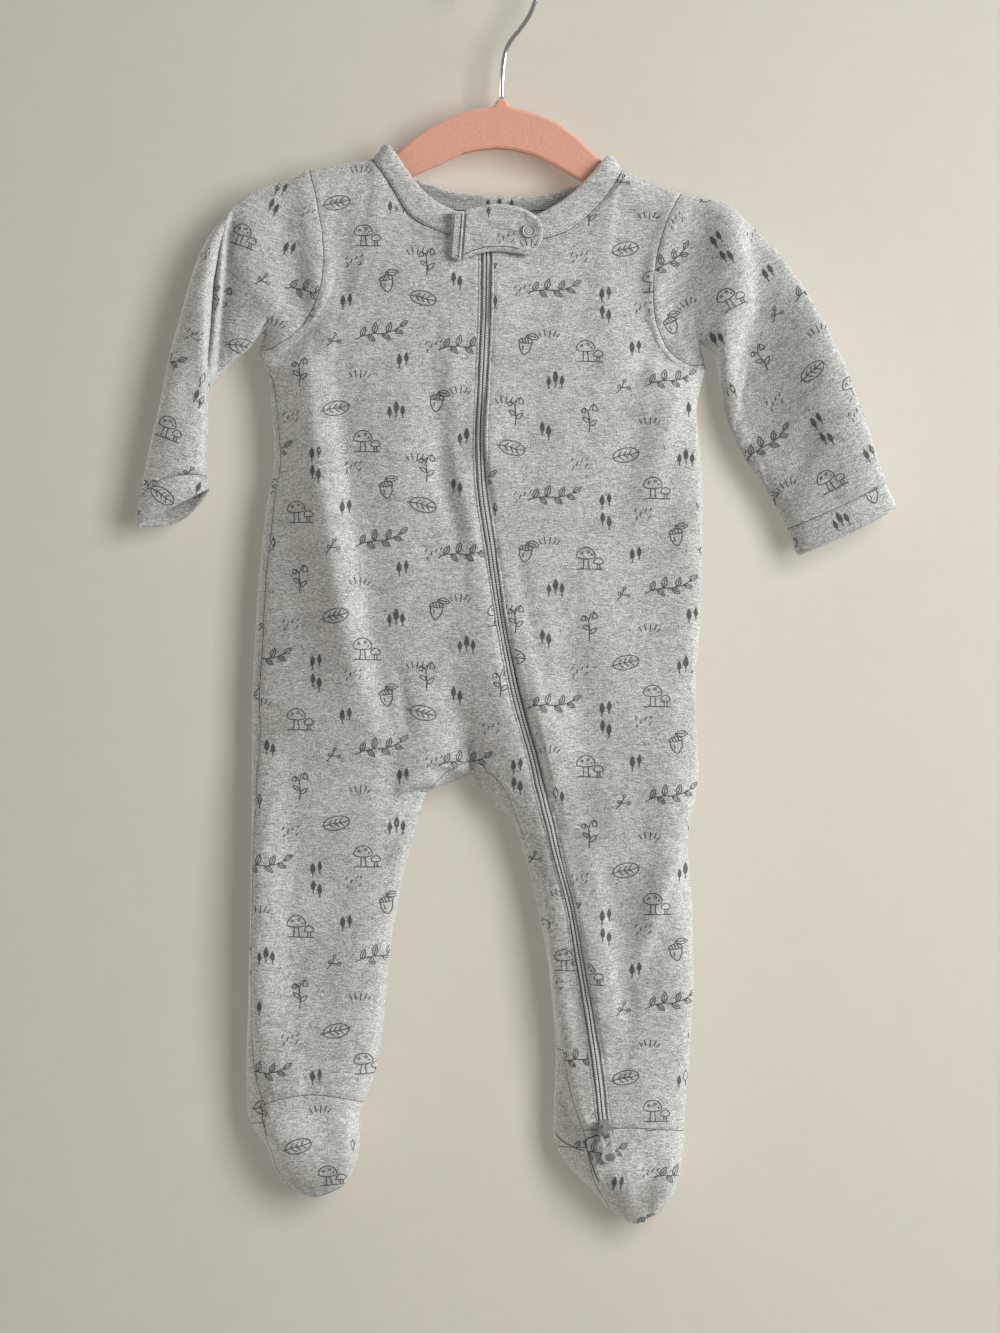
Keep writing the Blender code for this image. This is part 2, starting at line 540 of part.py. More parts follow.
def top_edge(side):
    """Upper edge of the front or back panel: shoulder, neck seam, shoulder."""
    sign = -1 if side == "front" else 1
    neck = NECK_SEAM_FRONT if side == "front" else NECK_SEAM_BACK
    neck_depth = NECK_DEPTH_FRONT if side == "front" else NECK_DEPTH_BACK
    edge = []
    for column in range(LAST + 1):
        if column <= NECK_POINT_RIGHT:
            spot = SHOULDER_RIGHT[column]
            depth = 0
        elif column >= NECK_POINT_LEFT:
            spot = SHOULDER_LEFT[column - NECK_POINT_LEFT]
            depth = 0
        else:
            spot = neck_spot(neck, side, column)
            rise = (spot.x - neck[0].x) / (neck[-1].x - neck[0].x)
            depth = max(NECK_FOLD_DEPTH, neck_depth * crown(rise, 2.4))
        edge.append((spot.x, sign * depth, spot.z))
    return edge


def from_neck_point(step, steps):
    """Share of a neck line after some of its steps; the first one is short, over the hanger."""
    return 0 if step == 0 else mix(NECK_FIRST_STEP, 1, (step - 1) / (steps - 1))


def neck_spot(curve, side, column):
    """Place of a column on the neck seam or on the neckband's edge."""
    if side == "back":
        steps = NECK_POINT_LEFT - NECK_POINT_RIGHT
        half = steps // 2
        step = column - NECK_POINT_RIGHT
        if step <= half:
            return along(curve, from_neck_point(step, half) / 2)
        return along(curve, 1 - from_neck_point(steps - step, half) / 2)
    middle = zip_x(-165)
    if column in (ZIP_RIGHT, ZIP_LEFT):
        x = middle + (ZIP_WIDTH / 2 if column == ZIP_LEFT else -ZIP_WIDTH / 2)
        return Spot(x, height_at(curve, x))
    if column < ZIP_RIGHT:
        part = [p for p in curve if p.x < middle - ZIP_WIDTH / 2 - 1]
        end = middle - ZIP_WIDTH / 2
        part.append(Spot(end, height_at(curve, end)))
        return along(part, from_neck_point(column - NECK_POINT_RIGHT,
                                           ZIP_RIGHT - NECK_POINT_RIGHT))
    part = [p for p in curve if p.x > middle + ZIP_WIDTH / 2 + 1]
    start = middle + ZIP_WIDTH / 2
    part.insert(0, Spot(start, height_at(curve, start)))
    return along(part, 1 - from_neck_point(NECK_POINT_LEFT - column,
                                           NECK_POINT_LEFT - ZIP_LEFT))


def yoke_rows(side):
    """Rows from the neck and shoulders down to the underarm, filled in between four edges."""
    right = armhole_curve(ARMHOLE_RIGHT, side)
    left = armhole_curve(ARMHOLE_LEFT, side)
    top = top_edge(side)
    chest = CHEST_DEPTH_FRONT if side == "front" else CHEST_DEPTH_BACK
    neck_depth = NECK_DEPTH_FRONT if side == "front" else NECK_DEPTH_BACK
    sign = -1 if side == "front" else 1
    bottom = torso_row(0, TORSO[0], side, folded=False)
    rows = []
    for r in range(TOP, 0, -1):
        rise = RISE[r]
        row = []
        for column in range(LAST + 1):
            across = column / LAST
            near_right = max(0, 1 - column / ARMHOLE_REACH)
            near_left = max(0, 1 - (LAST - column) / ARMHOLE_REACH)
            x, z = (
                mix(bottom[column][k], top[column][k], rise)
                + near_right * (right[r][k] - mix(bottom[0][k], top[0][k], rise))
                + near_left * (left[r][k] - mix(bottom[LAST][k], top[LAST][k], rise))
                for k in (0, 2))
            edge = mix(abs(right[r][1]), abs(left[r][1]), across)
            if r == TOP:
                y = abs(top[column][1])
            elif column in (0, LAST):
                y = edge
            else:
                upper = max(abs(top[column][1]), FOLD_DEPTH)
                lower = abs(bottom[column][1])
                belly = (chest - neck_depth) * math.sin(math.pi * rise) * .5
                reach = min(1, min(across, 1 - across) * 6)
                y = mix(edge, max(mix(lower, upper, rise) + belly, edge * .8), reach)
                y += fold_height(side, x, z) * reach
            row.append((x, sign * y, z))
        rows.append(onto_zip_line(row) if side == "front" and r < TOP else row)
    return rows


def onto_zip_line(row):
    """The row with its zip columns moved onto the zip line and the others shared out."""
    moved = []
    middle = zip_x((row[ZIP_RIGHT][2] + row[ZIP_LEFT][2]) / 2)
    right_move = middle - ZIP_WIDTH / 2 - row[ZIP_RIGHT][0]
    left_move = middle + ZIP_WIDTH / 2 - row[ZIP_LEFT][0]
    for column, (x, y, z) in enumerate(row):
        if column <= ZIP_RIGHT:
            x += right_move * column / ZIP_RIGHT
        else:
            x += left_move * (LAST - column) / (LAST - ZIP_LEFT)
        moved.append((x, y, z))
    return moved


def band_rows(side, seam_row):
    """Rows of the neckband, from its free edge down to the neck seam."""
    curve = NECK_EDGE_FRONT if side == "front" else NECK_EDGE_BACK
    depth = NECK_DEPTH_FRONT if side == "front" else NECK_DEPTH_BACK
    sign = -1 if side == "front" else 1
    edge = []
    for column in range(NECK_POINT_RIGHT, NECK_POINT_LEFT + 1):
        spot = neck_spot(curve, side, column)
        rise = (spot.x - curve[0].x) / (curve[-1].x - curve[0].x)
        out = max(NECK_FOLD_DEPTH, depth * .8 * crown(rise, 2.2)) if 0 < rise < 1 else 0
        edge.append((spot.x, sign * out, spot.z))
    seam = seam_row[NECK_POINT_RIGHT:NECK_POINT_LEFT + 1]
    rows = []
    for r in range(BAND_ROWS + 1):
        t = r / BAND_ROWS
        row = []
        for c, (a, b) in enumerate(zip(edge, seam)):
            x, y, z = (mix(p, q, t) for p, q in zip(a, b))
            if 0 < c < len(edge) - 1:
                y += sign * .8 * math.sin(math.pi * t)
            row.append((x, y, z))
        rows.append(row)
    return rows


def sleeve_point(arm, rise, side):
    sign = -1 if side == "front" else 1
    depth = arm.front if side == "front" else arm.back
    lift = arm.front_lift if side == "front" else arm.back_lift
    shoulder = np.array((arm.shoulder_x, arm.shoulder_z))
    under = np.array((arm.under_x, arm.under_z))
    chord = shoulder - under
    length = np.linalg.norm(chord)
    to_body = np.array((chord[1], -chord[0])) / length * (-1 if shoulder[0] > 0 else 1)
    bulge = math.sin(math.pi * rise ** 1.2)
    place = under + chord * rise + to_body * (arm.bow * bulge + lift * math.sin(math.pi * rise))
    profile = crown(rise, 2.6)
    y = depth * profile
    if .9 < rise < 1:
        y = max(y, min(FOLD_DEPTH, depth))
    return (place[0], sign * y, place[1])


def sleeve_rows(table, armhole_front, armhole_back):
    """Rings of a sleeve, each from underarm up the front, over the shoulder and down the back."""
    rings = [list(armhole_front) + list(reversed(armhole_back))[1:]]
    for arm in table:
        front = [sleeve_point(arm, rise, "front") for rise in RISE]
        back = [sleeve_point(arm, rise, "back") for rise in RISE]
        rings.append(front + list(reversed(back))[1:])
    return rings


def build_surface():
    suit = Surface()
    torso = {side: [torso_row(n, level, side) for n, level in enumerate(TORSO)]
             for side in ("front", "back")}
    yoke = {side: yoke_rows(side) for side in ("front", "back")}
    add_body(suit, torso, yoke)
    add_neckband(suit, yoke)
    add_legs(suit, torso)
    for side_name, curve, table, cuff in (
            ("right", ARMHOLE_RIGHT, RIGHT_SLEEVE, RIGHT_CUFF),
            ("left", ARMHOLE_LEFT, LEFT_SLEEVE, LEFT_CUFF)):
        add_sleeve(suit, side_name, curve, table, cuff)
    return suit


def front_name(column):
    if column < ZIP_RIGHT:
        return "front_right"
    return "zip" if column == ZIP_RIGHT else "front_left"


def add_body(suit, torso, yoke):
    front = yoke["front"] + torso["front"]
    back = yoke["back"] + torso["back"]
    first_torso = len(yoke["front"])
    seam_row = first_torso + 11

    def name_front(row, column):
        if row > first_torso and column < SIDE_SEAM:
            return "back"
        if row >= seam_row and column in (MID - 1, MID):
            return "back"
        return front_name(column)

    suit.grid(front, name_front)
    suit.grid(back, lambda row, column: "back", outward_flip=True)


def add_neckband(suit, yoke):
    def name_front(row, column):
        return "zip" if column + NECK_POINT_RIGHT == ZIP_RIGHT else "neckband"

    suit.grid(band_rows("front", yoke["front"][0]), name_front)
    suit.grid(band_rows("back", yoke["back"][0]), lambda row, column: "neckband",
              outward_flip=True)


def add_legs(suit, torso):
    for leg, table, foot, drop in (("right_leg", RIGHT_LEG, RIGHT_FOOT, RIGHT_TOE_DROP),
                                   ("left_leg", LEFT_LEG, LEFT_FOOT, LEFT_TOE_DROP)):
        right_leg = leg == "right_leg"
        part = slice(0, MID + 1) if right_leg else slice(MID, LAST + 1)
        rows = {}
        for side in ("front", "back"):
            rows[side] = [torso[side][-1][part]]
            rows[side] += [leg_row(leg, n, ring, side) for n, ring in enumerate(table)]
            rows[side] += [leg_row(leg, n, ring, side, foot=True) for n, ring in enumerate(foot)]
        toe = toe_row(rows["front"][-1], drop)
        rows["front"].append(toe)
        rows["back"].append(toe)
        ankle = len(table)
        meets = (RIGHT_SEAM_MEETS_EDGE if right_leg else LEFT_SEAM_MEETS_EDGE) + 1
        side_name = "right" if right_leg else "left"

        def name_front(row, column):
            absolute = column + (0 if right_leg else MID)
            wraps = absolute < SIDE_SEAM if right_leg else absolute == MID
            if row >= ankle:
                if wraps:
                    return "back" if row == ankle else "sole_" + side_name
                return "foot_top_" + side_name
            if right_leg and absolute < SIDE_SEAM:
                return "back"
            inner = absolute == (MID - 1 if right_leg else MID)
            if inner and (row < meets or not right_leg and row >= ankle - 2):
                return "back"
            return front_name(absolute)

        suit.grid(rows["front"], name_front)
        suit.grid(rows["back"],
                  lambda row, column: "back" if row <= ankle else "sole_" + side_name,
                  outward_flip=True)


def add_sleeve(suit, side_name, curve, table, cuff):
    rings = sleeve_rows(table + cuff, armhole_curve(curve, "front"), armhole_curve(curve, "back"))

    def name(row, column):
        return ("sleeve_" if row < len(table) else "cuff_") + side_name

    suit.grid(rings, name, outward_flip=side_name == "right")


# ================================================================ cutting panels out of the surface
def point_normals(points, faces):
    normals = np.zeros_like(points)
    for face in faces:
        corners = points[face]
        normal = np.zeros(3)
        for a, b in zip(corners, np.roll(corners, -1, axis=0)):
            normal += np.cross(a, b)
        for index in face:
            normals[index] += normal / (np.linalg.norm(normal) + 1e-9) ** .5
    return normals / (np.linalg.norm(normals, axis=1, keepdims=True) + 1e-9)


def border_of(faces):
    """Directed edges that only one face of the panel uses."""
    edges = {(a, b) for face in faces for a, b in zip(face, face[1:] + face[:1])}
    return [(a, b) for a, b in edges if (b, a) not in edges]


def pull_back(points, normals, border, gap):
    """Move of each border point into its panel, so that a seam has its clearance."""
    ways = {}
    for a, b in border:
        direction = points[b] - points[a]
        for index in (a, b):
            way = np.cross(normals[index], direction)
            ways.setdefault(index, []).append(way / (np.linalg.norm(way) + 1e-9))
    moves = {}
    for index, found in ways.items():
        total = sum(found)
        lean = max(.5, 1 + float(found[0] @ found[-1]))
        moves[index] = total * (2 / len(found)) * gap / 2 / lean
    return moves


def cut_panel(suit_points, normals, faces, wall, seams, sink=0.0):
    """Closed wall around the named faces: outer face, inner face and rim.

    At a seam it has the thickness of single cloth, so that it fits its neighbour.
    """
    border = border_of(faces)
    moves = pull_back(suit_points, normals, border, SEAM_GAP if wall == WALL else BAND_GAP)
    used = sorted({index for face in faces for index in face})
    place = {index: n for n, index in enumerate(used)}
    outer = []
    inner = []
    for index in used:
        point = suit_points[index] + moves.get(index, 0) - normals[index] * sink
        outer.append(point)
        inner.append(point - normals[index] * (WALL if index in seams else wall))
    count = len(used)
    panel = [[place[i] for i in face] for face in faces]
    panel += [[place[i] + count for i in reversed(face)] for face in faces]
    panel += [[place[b], place[a], place[a] + count, place[b] + count] for a, b in border]
    return outer + inner, panel


# ================================================================ Blender objects
def clear_scene():
    for old in list(bpy.data.objects):
        bpy.data.objects.remove(old, do_unlink=True)


def material(name, colour, roughness, metallic=0.0):
    made = bpy.data.materials.new(name)
    made.use_nodes = True
    shader = made.node_tree.nodes["Principled BSDF"]
    shader.inputs["Base Color"].default_value = (*colour, 1)
    shader.inputs["Roughness"].default_value = roughness
    shader.inputs["Metallic"].default_value = metallic
    made.diffuse_color = (*colour, 1)
    return made


def marl(name):
    return material(name, (.47, .48, .46), .95)


def collection():
    if COLLECTION not in bpy.data.collections:
        made = bpy.data.collections.new(COLLECTION)
        bpy.context.scene.collection.children.link(made)
    return bpy.data.collections[COLLECTION]


def add_object(name, data, look):
    made = bpy.data.objects.new(name, data)
    collection().objects.link(made)
    data.materials.clear()
    data.materials.append(look)
    return made


def mesh_object(name, points, faces, look, smooth=True):
    mesh = bpy.data.meshes.new(name)
    mesh.from_pydata([[c * MM for c in p] for p in points], [], faces)
    shell = bmesh.new()
    shell.from_mesh(mesh)
    bmesh.ops.triangulate(shell, faces=[f for f in shell.faces if len(f.verts) > 4])
    shell.to_mesh(mesh)
    shell.free()
    if smooth:
        mesh.shade_smooth()
        mesh.set_sharp_from_angle(angle=math.radians(50))
    return add_object(name, mesh, look)


def add_panels(suit):
    points = np.array(suit.points)
    normals = point_normals(points, suit.faces)
    panels = {name: [face for face, owner in zip(suit.faces, suit.names) if owner == name]
              for name in sorted(set(suit.names))}
    users = {}
    for name, faces in panels.items():
        for index in {i for face in faces for i in face}:
            users.setdefault(index, set()).add(name)
    seams = {index for index, names in users.items() if len(names) > 1}
    for name, faces in panels.items():
        doubled = name == "neckband" or name.startswith("cuff")
        panel_points, panel_faces = cut_panel(points, normals, faces,
                                              BAND_WALL if doubled else WALL, seams,
                                              ZIP_SINK if name == "zip" else 0.0)
        look = material(name, (.33, .34, .34), .7) if name == "zip" else marl(name)
        mesh_object(name, panel_points, panel_faces, look)


def surface_tree(suit):
    return BVHTree.FromPolygons([Vector(p) for p in suit.points], suit.faces)


def front_depth(tree, x, z):
    """y of the suit's front at (x, z), found from in front of it."""
    hit = tree.ray_cast(Vector((x, -100, z)), Vector((0, 1, 0)))
    return hit[0].y if hit[0] else None


def add_plate(name, suit_tree, top, bottom, rows, lift, wall):
    """A sewn-on piece that follows the suit's front, moved out from it."""
    outer = []
    edge_z = height_at(NECK_EDGE_FRONT, 0) - 2
    for r in range(rows + 1):
        t = r / rows
        for a, b in zip(top, bottom):
            x = mix(a.x, b.x, t)
            z = mix(a.z, b.z, t)
            y = front_depth(suit_tree, x, min(z, edge_z))
            outer.append((x, y - lift - wall, z))
    width = len(top)
    count = len(outer)
    inner = [(x, y + wall, z) for x, y, z in outer]
    faces = []
    for r in range(rows):
        for c in range(width - 1):
            quad = [r * width + c, (r + 1) * width + c, (r + 1) * width + c + 1, r * width + c + 1]
            faces.append(quad)
    border = border_of(faces)
    walls = faces + [[i + count for i in reversed(face)] for face in faces]
    walls += [[b, a, a + count, b + count] for a, b in border]
    return mesh_object(name, outer + inner, walls, marl(name))


def moved_in(x, y, z, lean, pivot):
    """A point turned about the y axis by lean degrees around pivot."""
    turn = math.radians(lean)
    dx = x - pivot.x
    dz = z - pivot.z
    return (pivot.x + dx * math.cos(turn) - dz * math.sin(turn), y,
            pivot.z + dx * math.sin(turn) + dz * math.cos(turn))


def bevelled(made, width, segments=2):
    """Rounded edges, as a modifier that stays on the object."""
    rounding = made.modifiers.new("rounded edges", "BEVEL")
    rounding.width = width * MM
    rounding.segments = segments
    rounding.limit_method = "ANGLE"
    rounding.angle_limit = math.radians(40)
    return made


def outline_plate(name, outline, thickness, depth, look, holes=(), bevel=0.0, segments=2):
    """Flat piece from a 2D outline in x and z, with its middle at y = depth."""
    curve = bpy.data.curves.new(name, "CURVE")
    curve.dimensions = "2D"
    curve.fill_mode = "BOTH"
    curve.extrude = thickness / 2 * MM
    for loop in (outline, *holes):
        spline = curve.splines.new("POLY")
        spline.points.add(len(loop) - 1)
        for point, place in zip(spline.points, loop):
            point.co = (place[0] * MM, place[1] * MM, 0, 1)
        spline.use_cyclic_u = True
    flat = bpy.data.objects.new(name + "_outline", curve)
    bpy.context.scene.collection.objects.link(flat)
    bpy.context.view_layer.update()
    evaluated = flat.evaluated_get(bpy.context.evaluated_depsgraph_get())
    mesh = bpy.data.meshes.new_from_object(evaluated)
    bpy.data.objects.remove(flat)
    shell = bmesh.new()
    shell.from_mesh(mesh)
    bmesh.ops.remove_doubles(shell, verts=shell.verts, dist=1e-6)
    bmesh.ops.dissolve_limit(shell, angle_limit=math.radians(1), verts=shell.verts,
                             edges=shell.edges)
    for vert in shell.verts:
        x, z, y = vert.co
        vert.co = (x, depth * MM - y, z)
    bmesh.ops.recalc_face_normals(shell, faces=shell.faces)
    shell.to_mesh(mesh)
    shell.free()
    mesh.name = name
    made = add_object(name, mesh, look)
    return bevelled(made, bevel, segments) if bevel else made


def add_hanger():
    outline = HANGER_TOP + HANGER_TIP_LEFT + HANGER_BOTTOM + HANGER_TIP_RIGHT
    outline_plate("hanger_body", outline, HANGER_THICKNESS, 0,
                  material("flocked_velvet", (.74, .34, .22), .9), bevel=HANGER_EDGE_ROUND)


def add_hook():
    """Wire from the collar up and round, open towards the wearer's right."""
    radius = HOOK_RADIUS + WIRE_RADIUS
    route = list(HOOK_STEM)
    for n in range(HOOK_STEPS + 1):
        angle = math.radians(mix(HOOK_START_ANGLE, HOOK_END_ANGLE, n / HOOK_STEPS))
        route.append(Spot(HOOK_CENTRE.x + radius * math.cos(angle),
                          HOOK_CENTRE.z + radius * math.sin(angle)))
    curve = bpy.data.curves.new("hanger_hook", "CURVE")
    curve.dimensions = "3D"
    curve.bevel_depth = WIRE_RADIUS * MM
    curve.bevel_resolution = 2
    curve.use_fill_caps = True
    spline = curve.splines.new("POLY")
    spline.points.add(len(route) - 1)
    for point, place in zip(spline.points, route):
        point.co = (place.x * MM, 0, place.z * MM, 1)
    add_object("hanger_hook", curve, material("chromed_wire", (.75, .75, .76), .15, 1))


def ring_points(centre_x, centre_z, radius, count, start=0.0, end=360.0):
    angles = [math.radians(mix(start, end, n / count)) for n in range(count)]
    return [(centre_x + radius * math.cos(a), centre_z + radius * math.sin(a)) for a in angles]


def add_stud(tree):
    """Dished cap of the press stud on the chin tab."""
    face = front_depth(tree, STUD.x, STUD.z) - REST_GAP - TAB_LIFT - TAB_WALL - STUD_GAP
    points = [(STUD.x, face - STUD_DISH, STUD.z), (STUD.x, face, STUD.z)]
    for radius, height in STUD_PROFILE:
        points += [(x, face - height, z)
                   for x, z in ring_points(STUD.x, STUD.z, radius, STUD_SIDES)]
    faces = []
    for n in range(STUD_SIDES):
        m = (n + 1) % STUD_SIDES
        faces.append([0, 2 + n, 2 + m])
        for ring in range(len(STUD_PROFILE) - 1):
            a = 2 + ring * STUD_SIDES
            b = a + STUD_SIDES
            faces.append([a + n, b + n, b + m, a + m])
        last = 2 + (len(STUD_PROFILE) - 1) * STUD_SIDES
        faces.append([1, last + m, last + n])
    mesh_object("stud_cap", points, faces, material("stud_enamel", (.55, .56, .54), .35))


def mirrored_outline(side, x, top_z, foot=()):
    """Closed outline from the half widths and drops of one side, with a foot between the sides."""
    right = [(x + half, top_z - drop) for half, drop in side]
    left = [(x - half, top_z - drop) for half, drop in reversed(side)]
    return right + list(foot) + left


def leaning(outline, lean, pivot):
    return [moved_in(x, 0, z, lean, pivot)[::2] for x, z in outline]


def add_slider(tree):
    """Slider body over the end of the zip, with the loop that holds the pull tab."""
    metal = material("slider_metal", (.62, .62, .63), .35, .6)
    top = Spot(SLIDER["x"], SLIDER["top_z"])
    back = min(front_depth(tree, top.x + x, top.z - drop) for x, drop in SLIDER_RESTS_ON) - REST_GAP
    outline = leaning(mirrored_outline(SLIDER_SIDE, top.x, top.z), SLIDER["lean"], top)
    body = outline_plate("zip_slider", outline, SLIDER["height"], back - SLIDER["height"] / 2, metal)
    join_loop(body, back - SLIDER["height"], metal)
    return back - SLIDER["height"]


def pull_axis(face_y):
    """Where the pull tab turns: just inside the lower end of the slider's loop."""
    drop = LOOP_LOW - LOOP_WIRE - PULL["bar"] / 2 - REST_GAP
    x, _, z = moved_in(SLIDER["x"], 0, SLIDER["top_z"] - drop, SLIDER["lean"],
                       Spot(SLIDER["x"], SLIDER["top_z"]))
    return Vector((x, face_y - PULL["lift"], z))


def join_loop(body, face_y, metal):
    """The loop on the slider, an arch of flat wire standing on its face."""
    pivot = Spot(SLIDER["x"], SLIDER["top_z"])
    points = []
    for x in (pivot.x - LOOP_WIDTH / 2, pivot.x + LOOP_WIDTH / 2):
        points += [moved_in(x, face_y - rise, pivot.z - drop, SLIDER["lean"], pivot)
                   for drop, rise in LOOP_ARCH]
    count = len(LOOP_ARCH)
    faces = []
    for n in range(count):
        m = (n + 1) % count
        faces.append([n, m, m + count, n + count])
    for n in range(count // 2 - 1):
        a, b, c, d = n, n + 1, count - 2 - n, count - 1 - n
        faces.append([a, d, c, b])
        faces.append([a + count, b + count, c + count, d + count])
    loop = mesh_object("slider_loop", points, faces, metal, smooth=False)
    loop.hide_render = True
    loop.display_type = "WIRE"
    joined = body.modifiers.new("loop", "BOOLEAN")
    joined.operation = "UNION"
    joined.object = loop
    move_to_cutters(loop)


def move_to_cutters(made):
    if "cutters" not in bpy.data.collections:
        cutters = bpy.data.collections.new("cutters")
        bpy.context.scene.collection.children.link(cutters)
    collection().objects.unlink(made)
    bpy.data.collections["cutters"].objects.link(made)


def pull_slot(x, top_z):
    """Outline of the pull tab's slot, with its corners cut off."""
    half, corner = PULL_SLOT["half_width"], PULL_SLOT["corner"]
    side = ((half - corner, 0), (half, corner), (half, PULL_SLOT["length"] - corner),
            (half - corner, PULL_SLOT["length"]))
    return mirrored_outline(side, x, top_z)


def add_pull(face_y):
    """Pull tab hanging from the slider's loop, with a slot at its head and a round foot."""
    axis = pull_axis(face_y)
    pivot = Spot(axis.x, axis.z)
    top = axis.z + PULL["bar"] / 2
    foot = ring_points(axis.x, top - PULL["length"] + PULL_FOOT["radius"], **PULL_FOOT)
    turned = leaning(mirrored_outline(PULL_SIDE, axis.x, top, foot), PULL["lean"], pivot)
    hole = leaning(pull_slot(axis.x, top - PULL["bar"]), PULL["lean"], pivot)
    made = outline_plate("zip_pull", turned, PULL["thickness"], axis.y,
                         material("pull_enamel", (.60, .60, .62), .4, .2), holes=(hole,),
                         bevel=PULL["edge_round"], segments=1)
    made.data.transform(Matrix.Translation(-axis * MM))
    made.location = axis * MM
    return made


def add_chin_tab(tree):
    add_plate("chin_tab", tree, TAB_TOP, TAB_BOTTOM, TAB_ROWS, REST_GAP + TAB_LIFT, TAB_WALL)
    add_plate("chin_tab_strip", tree, STRIP_TOP, STRIP_BOTTOM, TAB_ROWS, REST_GAP,
              TAB_WALL + STRIP_EXTRA)


def main():
    clear_scene()
    suit = build_surface()
    add_panels(suit)
    tree = surface_tree(suit)
    add_chin_tab(tree)
    add_stud(tree)
    add_pull(add_slider(tree))
    add_hanger()
    add_hook()


main()
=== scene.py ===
"""Looks of a footed baby sleeper on a child's hanger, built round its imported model."""
import math
import random

import bmesh
import bpy
import numpy as np
from mathutils import Matrix, Vector
from mathutils.bvhtree import BVHTree
from mathutils.kdtree import KDTree


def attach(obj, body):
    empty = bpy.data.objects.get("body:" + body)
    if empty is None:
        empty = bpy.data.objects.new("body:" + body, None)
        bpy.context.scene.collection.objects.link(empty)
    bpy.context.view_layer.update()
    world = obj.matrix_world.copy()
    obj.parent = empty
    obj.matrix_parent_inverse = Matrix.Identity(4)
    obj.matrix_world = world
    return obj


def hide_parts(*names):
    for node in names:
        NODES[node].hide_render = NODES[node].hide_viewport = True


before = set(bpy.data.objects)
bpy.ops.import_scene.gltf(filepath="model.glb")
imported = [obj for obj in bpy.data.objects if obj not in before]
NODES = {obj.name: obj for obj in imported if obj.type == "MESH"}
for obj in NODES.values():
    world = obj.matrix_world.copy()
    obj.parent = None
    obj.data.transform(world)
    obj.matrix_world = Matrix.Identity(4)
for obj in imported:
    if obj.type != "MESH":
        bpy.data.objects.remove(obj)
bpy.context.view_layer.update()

MM = 0.001
LEVELS = 3
PAIR_BASE = 10 ** 7     # makes one number of a pair of point indices

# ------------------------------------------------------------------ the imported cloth
PANELS = ("back", "front_right", "front_left", "zip", "sleeve_right", "sleeve_left",
          "foot_top_right", "foot_top_left", "sole_right", "sole_left")
BANDS = ("neckband", "cuff_right", "cuff_left")
CLOTH = PANELS + BANDS
WALL = 1.6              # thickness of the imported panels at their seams
WELD = 1.05             # seam points of two panels closer than this are one point


def node_shell(name):
    """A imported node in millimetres."""
    shell = bmesh.new()
    shell.from_mesh(NODES[name].data)
    bmesh.ops.scale(shell, vec=(1 / MM,) * 3, verts=shell.verts)
    return shell


def node_tree(name):
    """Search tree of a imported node, to lay things on."""
    shell = node_shell(name)
    tree = BVHTree.FromBMesh(shell)
    shell.free()
    return tree


def joined_quads(name):
    """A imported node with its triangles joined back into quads."""
    shell = node_shell(name)
    bmesh.ops.remove_doubles(shell, verts=shell.verts, dist=.01)
    bmesh.ops.join_triangles(shell, faces=shell.faces, angle_face_threshold=math.radians(50),
                             angle_shape_threshold=math.radians(70))
    return shell


def islands(shell, sharpest=-2.0):
    """Groups of faces joined to each other over edges that aren't too sharp."""
    left = set(shell.faces)
    found = []
    while left:
        stack = [left.pop()]
        group = set(stack)
        while stack:
            face = stack.pop()
            for edge in face.edges:
                for other in edge.link_faces:
                    if other in left and face.normal.dot(other.normal) > sharpest:
                        left.discard(other)
                        group.add(other)
                        stack.append(other)
        found.append(group)
    return found


def outer_sheet(name):
    """Points and faces of a panel's outside; a band also keeps its free edge and its inside."""
    shell = joined_quads(name)
    rims = [face for face in shell.faces
            if sum(abs(edge.calc_length() - WALL) < .004 for edge in face.edges) >= 2]
    bmesh.ops.delete(shell, geom=rims, context="FACES")
    if name not in BANDS:
        groups = islands(shell)
        if max(map(len, groups)) > .7 * len(shell.faces):      # the two layers still hang together
            shell.normal_update()
            groups = islands(shell, .2)
        groups = [group for group in groups if len(group) > .25 * len(shell.faces)]
        depth = [np.mean([abs(v.co.y) for face in group for v in face.verts]) for group in groups]
        keep = groups[int(np.argmax(depth))]
        bmesh.ops.delete(shell, geom=[f for f in shell.faces if f not in keep], context="FACES")
    shell.verts.index_update()
    border = [v.index for v in shell.verts if v.is_boundary]
    points = [tuple(v.co) for v in shell.verts]
    faces = [[v.index for v in face.verts] for face in shell.faces]
    shell.free()
    return points, faces, border


def welded_suit():
    """One mesh of all the panels' outsides; the material index says which panel a face is of."""
    points, faces, owners, border, piece_of = [], [], [], [], []
    for number, name in enumerate(CLOTH):
        own_points, own_faces, own_border = outer_sheet(name)
        base = len(points)
        points += own_points
        piece_of += [number] * len(own_points)
        faces += [[i + base for i in face] for face in own_faces]
        owners += [number] * len(own_faces)
        border += [i + base for i in own_border]
    tree = KDTree(len(border))
    for i in border:
        tree.insert(points[i], i)
    tree.balance()
    parent = {i: i for i in border}

    def root(i):
        while parent[i] != i:
            i = parent[i]
        return i

    for i in border:
        for _, j, _ in tree.find_range(points[i], WELD):
            if piece_of[i] != piece_of[j]:
                parent[root(i)] = root(j)
    groups = {}
    for i in border:
        groups.setdefault(root(i), []).append(i)
    for members in groups.values():
        middle = np.mean([points[i] for i in members], axis=0)
        for i in members:
            points[i] = tuple(middle)
    remap = {i: root(i) for i in border}
    faces = [[remap.get(i, i) for i in face] for face in faces]
    used = sorted({i for face in faces for i in face})
    place = {i: n for n, i in enumerate(used)}
    return (np.array([points[i] for i in used]), [[place[i] for i in face] for face in faces],
            owners)


